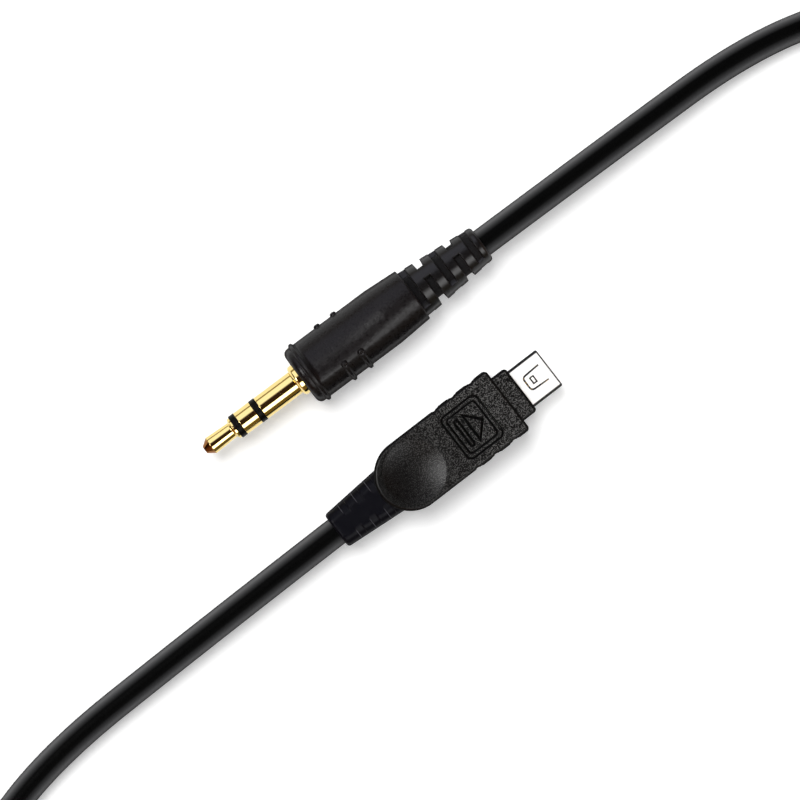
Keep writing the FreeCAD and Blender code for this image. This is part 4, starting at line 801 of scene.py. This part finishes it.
def neck_bulge(along, level):
    """The flank is plain down to the joint, where it draws in to a fine parting line."""
    return -PARTING_DEPTH * step_up(PARTING_HEIGHT - level, 0, PARTING_HEIGHT) * np.ones_like(along)


def housing_bulge(along, level):
    """Lobes stand out below their own top, and the joint draws in as the neck's does."""
    return grip_lobes(along) * step_up(LOBE_TOP - level, 0, LOBE_TOP_EASE) + neck_bulge(along, level)


def plain_relief(along, across):
    """The lower cover has a plain face."""
    return np.zeros_like(along)


def top_relief(along, across):
    """The upper cover's face: the thumb dish behind and the arrow panel in front."""
    return dish_relief(along, across) + panel_relief(along, across)


# Rows and columns stand close over the panel, the grips and the rounded edges, and wider elsewhere
quarter_steps = 1 - np.cos(np.linspace(0, math.pi / 2, 8))
edge_steps = HOUSING_EDGE * quarter_steps
housing_along = np.concatenate([
    SHOULDER + edge_steps[:-1], np.arange(SHOULDER + HOUSING_EDGE, FINE_END, FINE_STEP),
    np.linspace(FINE_END, REAR_CENTRE, round((REAR_CENTRE - FINE_END) / PLAIN_STEP))[:-1],
    REAR_CENTRE + HALF_WIDTH * np.sin(np.linspace(0, math.pi / 2, 56))])
half_shares = np.concatenate([
    np.arange(0, FINE_SIDE, FINE_STEP), np.linspace(FINE_SIDE, HALF_WIDTH - HOUSING_EDGE, 6)[:-1],
    (HALF_WIDTH - edge_steps)[::-1]]) / HALF_WIDTH
housing_shares = np.concatenate([-half_shares[:0:-1], half_shares])
neck_steps = NECK_EDGE * quarter_steps
neck_along = np.concatenate([NECK_FRONT + neck_steps,
                             np.linspace(NECK_FRONT + NECK_EDGE, SHOULDER + 0.3, 12)[1:]])
neck_half = np.concatenate([np.linspace(0, NECK_HALF_WIDTH - NECK_EDGE, 20)[:-1],
                            (NECK_HALF_WIDTH - neck_steps)[::-1]]) / NECK_HALF_WIDTH
neck_shares = np.concatenate([-neck_half[:0:-1], neck_half])
parting_levels = [0.10, 0.06, 0.03, 0.0]
housing_levels = np.concatenate([[FACE - HOUSING_EDGE], np.linspace(LOBE_TOP, LOBE_TOP - 0.14, 5),
                                 np.linspace(2.6, 0.3, 6), parting_levels])
neck_levels = np.concatenate([[NECK_HALF_HEIGHT - NECK_EDGE], np.linspace(1.4, 0.3, 4), parting_levels])

# Spark-eroded ABS: hard black plastic with a coarse, sharp grain. Its glints are painted in the base colour as
# grey specks on the grain's tops. They are left out as painted shade on the rounded edges and slopes, and
# thinned out as painted shade from the dish back to the rear. The real grain is about 0.05 mm wide and is
# drawn about three times as wide, so that it shows.
GRAIN_WIDTH = 0.14
GRAIN_DEPTH = 0.018
GRAIN_TOPS = (0.50, 0.58)
GLINTS_BY_SLANT = ((0.10, "#8c8c8c"), (0.30, "#000000"), (0.91, "#000000"), (0.975, "#ffffff"))
REAR_GLINT_SHARE = 0.15
REAR_SHADE_PLACE = DISH_PLACE + 5.0
REAR_SHADE_REACH = (4.0, 17.0)

housing_abs = new_material("spark_grained_abs", "#0b0a0c", Roughness=0.30, IOR=1.54, Specular_IOR_Level=0.10)
housing_grain = add_grain(housing_abs, GRAIN_WIDTH, GRAIN_DEPTH, roughness=(0.32, 0.20), detail=1.0)
dull_walls(housing_abs, 0.70, 0.95)
housing_tree = housing_abs.node_tree
# painted glints: grey specks on the grain's tops, left out on the slopes as painted shade
grain_tops = add_node(housing_tree, "MapRange", {"From Min": GRAIN_TOPS[0], "From Max": GRAIN_TOPS[1]},
                      {"Value": housing_grain})
glints_on_flats = add_node(housing_tree, "Math",
                     links={0: grain_tops.outputs["Result"], 1: slant_colour(housing_tree, GLINTS_BY_SLANT)},
                     operation="MULTIPLY")
# painted shade: fewer glints near and behind the dish, towards the rear
rear_shade_middle = np.array(PLUG_MOUTH) + REAR_SHADE_PLACE * plug_axes(PLUG_HEADING, 0.0)[0]
off_rear_shade = add_node(housing_tree, "VectorMath", links={0: place_from(housing_tree, rear_shade_middle)},
                     operation="LENGTH")
unshaded_share = add_node(housing_tree, "MapRange",
                  {"From Min": REAR_SHADE_REACH[0] * MM, "From Max": REAR_SHADE_REACH[1] * MM, "To Min": REAR_GLINT_SHARE},
                  {"Value": off_rear_shade.outputs["Value"]})
painted_glints = add_node(housing_tree, "Math", links={0: glints_on_flats.outputs[0], 1: unshaded_share.outputs["Result"]},
                  operation="MULTIPLY")
blend_colours(housing_abs, painted_glints.outputs[0], "#030303", "#555453")

for node, name, roll, relief_of in (("plug_top_cover", "upper_housing_cover", 0.0, top_relief),
                                    ("plug_bottom_cover", "lower_housing_cover", 180.0, plain_relief)):
    grids = capped_block(housing_along, housing_shares, housing_half_width, housing_distance, FACE,
                         HOUSING_EDGE, relief_of, housing_bulge, housing_levels)
    grids += capped_block(neck_along, neck_shares, neck_half_width, neck_distance, NECK_HALF_HEIGHT,
                          NECK_EDGE, plain_relief, neck_bulge, neck_levels)
    piece = skin(name, grids, PLUG_MOUTH, plug_axes(PLUG_HEADING, roll), housing_abs, sharp=60)
    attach(piece, "link_cable")
    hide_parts(node)


# The strain relief of the camera plug: a flattened, tapered boot of soft black PVC, moulded on the cable
# and held by the covers. Three shallow slots across each face let it bend.
BOOT_SEAT = 25.4
BOOT_FRONT = 26.2
BOOT_REAR = 36.48
BOOT_FRONT_SIZE = (7.0, 5.4)
BOOT_REAR_SIZE = (5.4, 5.2)
BOOT_EDGE = 1.6
BOOT_END = 0.4
BOOT_SLOT_PITCH = 2.38
BOOT_LAST_SLOT = BOOT_REAR - 2.75
BOOT_SLOTS = tuple(BOOT_LAST_SLOT - number * BOOT_SLOT_PITCH for number in range(3))
BOOT_SLOT_WIDTH = 1.03
BOOT_SLOT_DEPTH = 0.15
BOOT_SLOT_RUN = 1.2
BOOT_SLOT_SIDES = (0.9, 1.9)
BOOT_EASE = 0.06


def boot_section(sizes, edge, columns):
    """Rounded rectangles, one for each (width, height): each column stands at a share of the corner
    centres' offset from the middle, plus the edge's radius along the outward direction there."""
    centres, outwards = columns[:2, None, :], columns[2:, None, :]
    return centres * (sizes.T / 2 - edge)[:, :, None] + outwards * edge[:, None]


def boot_columns(face_steps, flank_steps, corner_steps):
    """Columns once round the section: along the upper face, round a corner, down a flank, and so on."""
    parts = []
    for quarter, steps in enumerate((face_steps, flank_steps, face_steps, flank_steps)):
        turn = quarter * math.pi / 2
        straight = np.linspace(-1, 1, steps)
        arc = np.linspace(0, math.pi / 2, corner_steps + 2)[1:-1]
        side = np.concatenate([straight, np.ones(corner_steps)])
        lean = np.concatenate([np.zeros(steps), arc])
        parts.append(np.stack([
            side * math.cos(turn) + math.sin(turn), math.cos(turn) - side * math.sin(turn),
            np.sin(lean + turn), np.cos(lean + turn)]))
    return np.concatenate(parts, axis=1)


boot_slot_ends = [middle + side * BOOT_SLOT_WIDTH / 2 for middle in BOOT_SLOTS for side in (-1, 1)]
boot_lines = crowded(BOOT_FRONT, BOOT_REAR - BOOT_END, SLEEVE_STEP, boot_slot_ends,
                     np.linspace(-1.3, 1.3, 7) * BOOT_EASE)
end_turn = np.linspace(0, math.pi / 2, 8)[1:]
boot_along = np.concatenate([[BOOT_SEAT], boot_lines, BOOT_REAR - BOOT_END * (1 - np.sin(end_turn)),
                             [BOOT_REAR, BOOT_SEAT]])
inset = np.concatenate([np.zeros(1 + len(boot_lines)), BOOT_END * (1 - np.cos(end_turn)), [0, 0]])
boot_taper = np.clip((boot_along - BOOT_FRONT) / (BOOT_REAR - BOOT_FRONT), 0, 1)
in_bore = np.arange(len(boot_along)) >= len(boot_along) - 2
boot_sizes = (BOOT_FRONT_SIZE + np.subtract(BOOT_REAR_SIZE, BOOT_FRONT_SIZE) * boot_taper[:, None]
              - 2 * inset[:, None])
boot_sizes[in_bore] = CABLE_DIAMETER
boot_edge = np.where(in_bore, CABLE_DIAMETER / 2, BOOT_EDGE - inset)
boot_across, boot_up = boot_section(boot_sizes, boot_edge,
                                    boot_columns(face_steps=48, flank_steps=12, corner_steps=14))
in_slot = np.zeros(len(boot_along))
for middle in BOOT_SLOTS:
    off_wall = BOOT_SLOT_WIDTH / 2 - np.abs(boot_along - middle)
    in_slot = np.maximum(in_slot, step_up(off_wall, -BOOT_EASE, BOOT_EASE))
sunk = BOOT_SLOT_DEPTH * (in_slot * ~in_bore)[:, None] * step_up(np.abs(boot_up), 0, BOOT_SLOT_RUN)
sunk = sunk * step_up(np.abs(boot_across), *BOOT_SLOT_SIDES)
boot_up = boot_up - np.sign(boot_up) * sunk
boot_stations = np.repeat(boot_along[:, None], boot_across.shape[1], axis=1)
boot_grid = np.stack([boot_stations, boot_across, boot_up], -1)

# Soft PVC with a smooth mould finish, cool black, with a painted highlight in grey on the rear wall of each
# slot on the rounded sides
LIT_WALL_FACING = (0.25, 0.55)
LIT_WALL_SIDE = (1.2, 1.7)
HIGHLIGHT_END = BOOT_REAR - 1.0

boot_pvc = new_material("smooth_boot_pvc", "#08080d", Roughness=0.34, IOR=1.45, Specular_IOR_Level=0.06)
add_grain(boot_pvc, 0.4, 0.004, roughness=(0.30, 0.38))
dull_walls(boot_pvc, 0.25, 0.60)
boot_tree = boot_pvc.node_tree
rearwards, outwards = plug_axes(PLUG_HEADING, 0.0)[:2]
# painted highlight: grey on the front-facing rear wall of each slot, on the rounded sides only
boot_facing = add_node(boot_tree, "NewGeometry")
faces_front = add_node(boot_tree, "VectorMath", {1: -rearwards}, {0: boot_facing.outputs["Normal"]},
                       operation="DOT_PRODUCT")
on_wall = add_node(boot_tree, "MapRange", {"From Min": LIT_WALL_FACING[0], "From Max": LIT_WALL_FACING[1]},
                   {"Value": faces_front.outputs["Value"]})
from_mouth = place_from(boot_tree, PLUG_MOUTH)
boot_side = add_node(boot_tree, "VectorMath", {1: outwards}, {0: from_mouth}, operation="DOT_PRODUCT")
either_side = add_node(boot_tree, "Math", links={0: boot_side.outputs["Value"]}, operation="ABSOLUTE")
on_side = add_node(boot_tree, "MapRange",
                   {"From Min": LIT_WALL_SIDE[0] * MM, "From Max": LIT_WALL_SIDE[1] * MM},
                   {"Value": either_side.outputs[0]})
boot_station = add_node(boot_tree, "VectorMath", {1: rearwards}, {0: from_mouth}, operation="DOT_PRODUCT")
off_end_face = add_node(boot_tree, "Math", {1: HIGHLIGHT_END * MM}, {0: boot_station.outputs["Value"]},
                        operation="LESS_THAN")
lit_side_wall = add_node(boot_tree, "Math", links={0: on_wall.outputs["Result"], 1: on_side.outputs["Result"]},
                     operation="MULTIPLY")
painted_highlight = add_node(boot_tree, "Math", links={0: lit_side_wall.outputs[0], 1: off_end_face.outputs[0]},
                    operation="MULTIPLY")
blend_colours(boot_pvc, painted_highlight.outputs[0], "#08080d", "#48484c")

boot = skin("plug_relief_boot", [(boot_grid, True, True)], PLUG_MOUTH, plug_axes(PLUG_HEADING, 0.0),
            boot_pvc, sharp=60)
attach(boot, "link_cable")
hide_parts("plug_strain_relief")


# What the covers hide: contacts and their moulded carrier, tinned tags and the crimped ferrule, solder,
# the three insulated leads and the inner moulds. Their solids have the right shape and get real finishes,
# each with a colour, metallic, roughness, and the width and height of its grain.
INNER_FINISHES = {
    "gold_plate_on_contacts": ("#ffd88a", 1.0, 0.22, 0.15, 0.001, ("plug_contacts",)),
    "moulded_liquid_crystal_polymer": ("#191919", 0.0, 0.50, 0.20, 0.006,
                                       ("plug_contact_carrier", "jack_rear_washer")),
    "tinned_brass": ("#c9c7c0", 1.0, 0.38, 0.30, 0.004,
                     ("jack_sleeve_tag", "jack_ring_tag", "jack_tip_tag", "plug_cable_ferrule")),
    "tin_lead_solder": ("#bdbcb8", 1.0, 0.30, 0.60, 0.010, ("jack_solder_joints", "plug_solder_joints")),
    "natural_polyethylene": ("#dcd8c8", 0.0, 0.45, 0.80, 0.020, ("jack_core_mould", "plug_core_mould")),
    "red_lead_pvc": ("#a82820", 0.0, 0.40, 0.50, 0.006, ("jack_shutter_lead", "plug_shutter_lead")),
    "white_lead_pvc": ("#e6e3da", 0.0, 0.40, 0.50, 0.006, ("jack_focus_lead", "plug_focus_lead")),
    "bare_stranded_copper": ("#d98d5f", 1.0, 0.35, 0.18, 0.012, ("jack_ground_lead", "plug_ground_lead")),
}
for name, (colour, metallic, roughness, size, depth, nodes) in INNER_FINISHES.items():
    material = new_material(name, colour, Metallic=metallic, Roughness=roughness)
    add_grain(material, size, depth, roughness=(roughness - 0.05, roughness + 0.05))
    for node in nodes:
        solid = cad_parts[node]
        solid.data.materials.clear()
        solid.data.materials.append(material)


# The studio: a pale floor that keeps a soft shadow, one large soft lamp from the upper left and an even
# sky. Glossy surfaces mirror a room instead, with bright banks and dark gaps that run along the jack, as
# over a light table, dim walls beyond their ends and one small window.
FLOOR_SIZE = 3000.0
FLOOR_LIFT = 0.30
LAMP_PLACE = (-0.21, 0.27, 0.93)
LAMP_SIZE = 0.58
LAMP_POWER = 8.2
EVEN_LIGHT = 0.42
MIRROR_LIGHT = 6.0
ACROSS = math.radians(JACK_HEADING - 90)
BANKS = (  # degrees from overhead towards the picture's lower right, and the light there
    (-90, (0.060, 0.050, 0.030)), (-77, (0.060, 0.050, 0.030)), (-71, (0.25, 0.25, 0.285)),
    (-31, (0.25, 0.25, 0.285)), (-20, (0.006, 0.003, 0.002)), (21, (0.006, 0.003, 0.002)),
    (28, (1.0, 1.0, 1.0)), (49, (1.0, 1.0, 1.0)), (57, (0.030, 0.021, 0.006)), (90, (0.030, 0.021, 0.006)),
)
BANK_MIDDLE = 0.06
BANK_ENDS = (0.20, 0.42)
DIM_WALL = (0.009, 0.004, 0.002, 1.0)
WARM_WALL = (0.080, 0.041, 0.022, 1.0)
WALL_BLEND = 0.3
WINDOW = (-0.452, -0.040, 0.891)
WINDOW_EDGE = (math.cos(math.radians(15)), math.cos(math.radians(5)))
WINDOW_LIGHT = 3.2

floor_mesh = bpy.data.meshes.new("floor")
reach = FLOOR_SIZE * MM / 2
floor_mesh.from_pydata([(-reach, -reach, 0), (reach, -reach, 0), (reach, reach, 0), (-reach, reach, 0)],
                       [], [(0, 1, 2, 3)])
floor = add_object("floor", floor_mesh)
paper = new_material("matt_white_paper", "#f2f2f2", Roughness=1.0, Specular_IOR_Level=0.0,
                     Emission_Color=(1, 1, 1, 1))
path = add_node(paper.node_tree, "LightPath")
seen = add_node(paper.node_tree, "Math",
                links={0: path.outputs["Is Camera Ray"], 1: path.outputs["Is Glossy Ray"]},
                operation="MAXIMUM")
lift = add_node(paper.node_tree, "Math", {1: FLOOR_LIFT}, {0: seen.outputs[0]}, operation="MULTIPLY")
feed(paper, "Emission Strength", lift.outputs[0])
floor_mesh.materials.append(paper)

lamp_data = bpy.data.lights.new("soft_lamp", "AREA")
lamp_data.shape = "DISK"
lamp_data.size = LAMP_SIZE
lamp_data.energy = LAMP_POWER
lamp = add_object("soft_lamp", lamp_data)
lamp.location = LAMP_PLACE
lamp.rotation_euler = (-Vector(lamp.location)).to_track_quat("-Z", "Y").to_euler()
lamp.visible_glossy = False

world = bpy.data.worlds.new("studio_sky")
world.use_nodes = True
bpy.context.scene.world = world
sky_tree = world.node_tree
sky_tree.nodes.clear()
sky_path = add_node(sky_tree, "LightPath")
look = add_node(sky_tree, "TexCoord")
sideways = add_node(sky_tree, "VectorMath", {1: (math.cos(ACROSS), math.sin(ACROSS), 0)},
                    {0: look.outputs["Generated"]}, operation="DOT_PRODUCT")
upwards = add_node(sky_tree, "SeparateXYZ", links={0: look.outputs["Generated"]})
angle = add_node(sky_tree, "Math", links={0: sideways.outputs["Value"], 1: upwards.outputs["Z"]},
                 operation="ARCTAN2")
share = add_node(sky_tree, "MapRange", {"From Min": -math.pi, "From Max": math.pi},
                 {"Value": angle.outputs[0]})
banks = add_node(sky_tree, "ValToRGB", links={"Fac": share.outputs["Result"]})
set_stops(banks.color_ramp, [((degrees + 180) / 360, (*light, 1.0)) for degrees, light in BANKS])
endways = add_node(sky_tree, "VectorMath", {1: (-math.sin(ACROSS), math.cos(ACROSS), 0)},
                   {0: look.outputs["Generated"]}, operation="DOT_PRODUCT")
off_bank_middle = add_node(sky_tree, "Math", {1: BANK_MIDDLE}, {0: endways.outputs["Value"]},
                           operation="SUBTRACT")
from_bank_middle = add_node(sky_tree, "Math", links={0: off_bank_middle.outputs[0]}, operation="ABSOLUTE")
beyond = add_node(sky_tree, "MapRange", {"From Min": BANK_ENDS[0], "From Max": BANK_ENDS[1]},
                  {"Value": from_bank_middle.outputs[0]}, interpolation_type="SMOOTHSTEP")
warmer = add_node(sky_tree, "MapRange", {"From Min": -WALL_BLEND, "From Max": WALL_BLEND},
                  {"Value": sideways.outputs["Value"]})
walls = add_node(sky_tree, "Mix", {"A": DIM_WALL, "B": WARM_WALL}, {"Factor": warmer.outputs["Result"]},
                 data_type="RGBA")
room = add_node(sky_tree, "Mix",
                links={"Factor": beyond.outputs["Result"], "A": banks.outputs["Color"],
                       "B": walls.outputs["Result"]}, data_type="RGBA")
toward_window = add_node(sky_tree, "VectorMath", {1: WINDOW}, {0: look.outputs["Generated"]},
                         operation="DOT_PRODUCT")
in_window = add_node(sky_tree, "MapRange", {"From Min": WINDOW_EDGE[0], "From Max": WINDOW_EDGE[1]},
                     {"Value": toward_window.outputs["Value"]}, interpolation_type="SMOOTHSTEP")
lights = add_node(sky_tree, "Mix", {"B": (*[WINDOW_LIGHT] * 3, 1.0)},
                  {"Factor": in_window.outputs["Result"], "A": room.outputs["Result"]}, data_type="RGBA")
mirror_sky = add_node(sky_tree, "Background", {"Strength": MIRROR_LIGHT}, {"Color": lights.outputs["Result"]})
even_sky = add_node(sky_tree, "Background", {"Color": (1, 1, 1, 1), "Strength": EVEN_LIGHT})
white_sky = add_node(sky_tree, "Background", {"Color": (1, 1, 1, 1), "Strength": 1.0})
lit = add_node(sky_tree, "MixShader",
               links={0: sky_path.outputs["Is Glossy Ray"], 1: even_sky.outputs[0], 2: mirror_sky.outputs[0]})
sky = add_node(sky_tree, "MixShader",
               links={0: sky_path.outputs["Is Camera Ray"], 1: lit.outputs[0], 2: white_sky.outputs[0]})
add_node(sky_tree, "OutputWorld", links={"Surface": sky.outputs[0]})
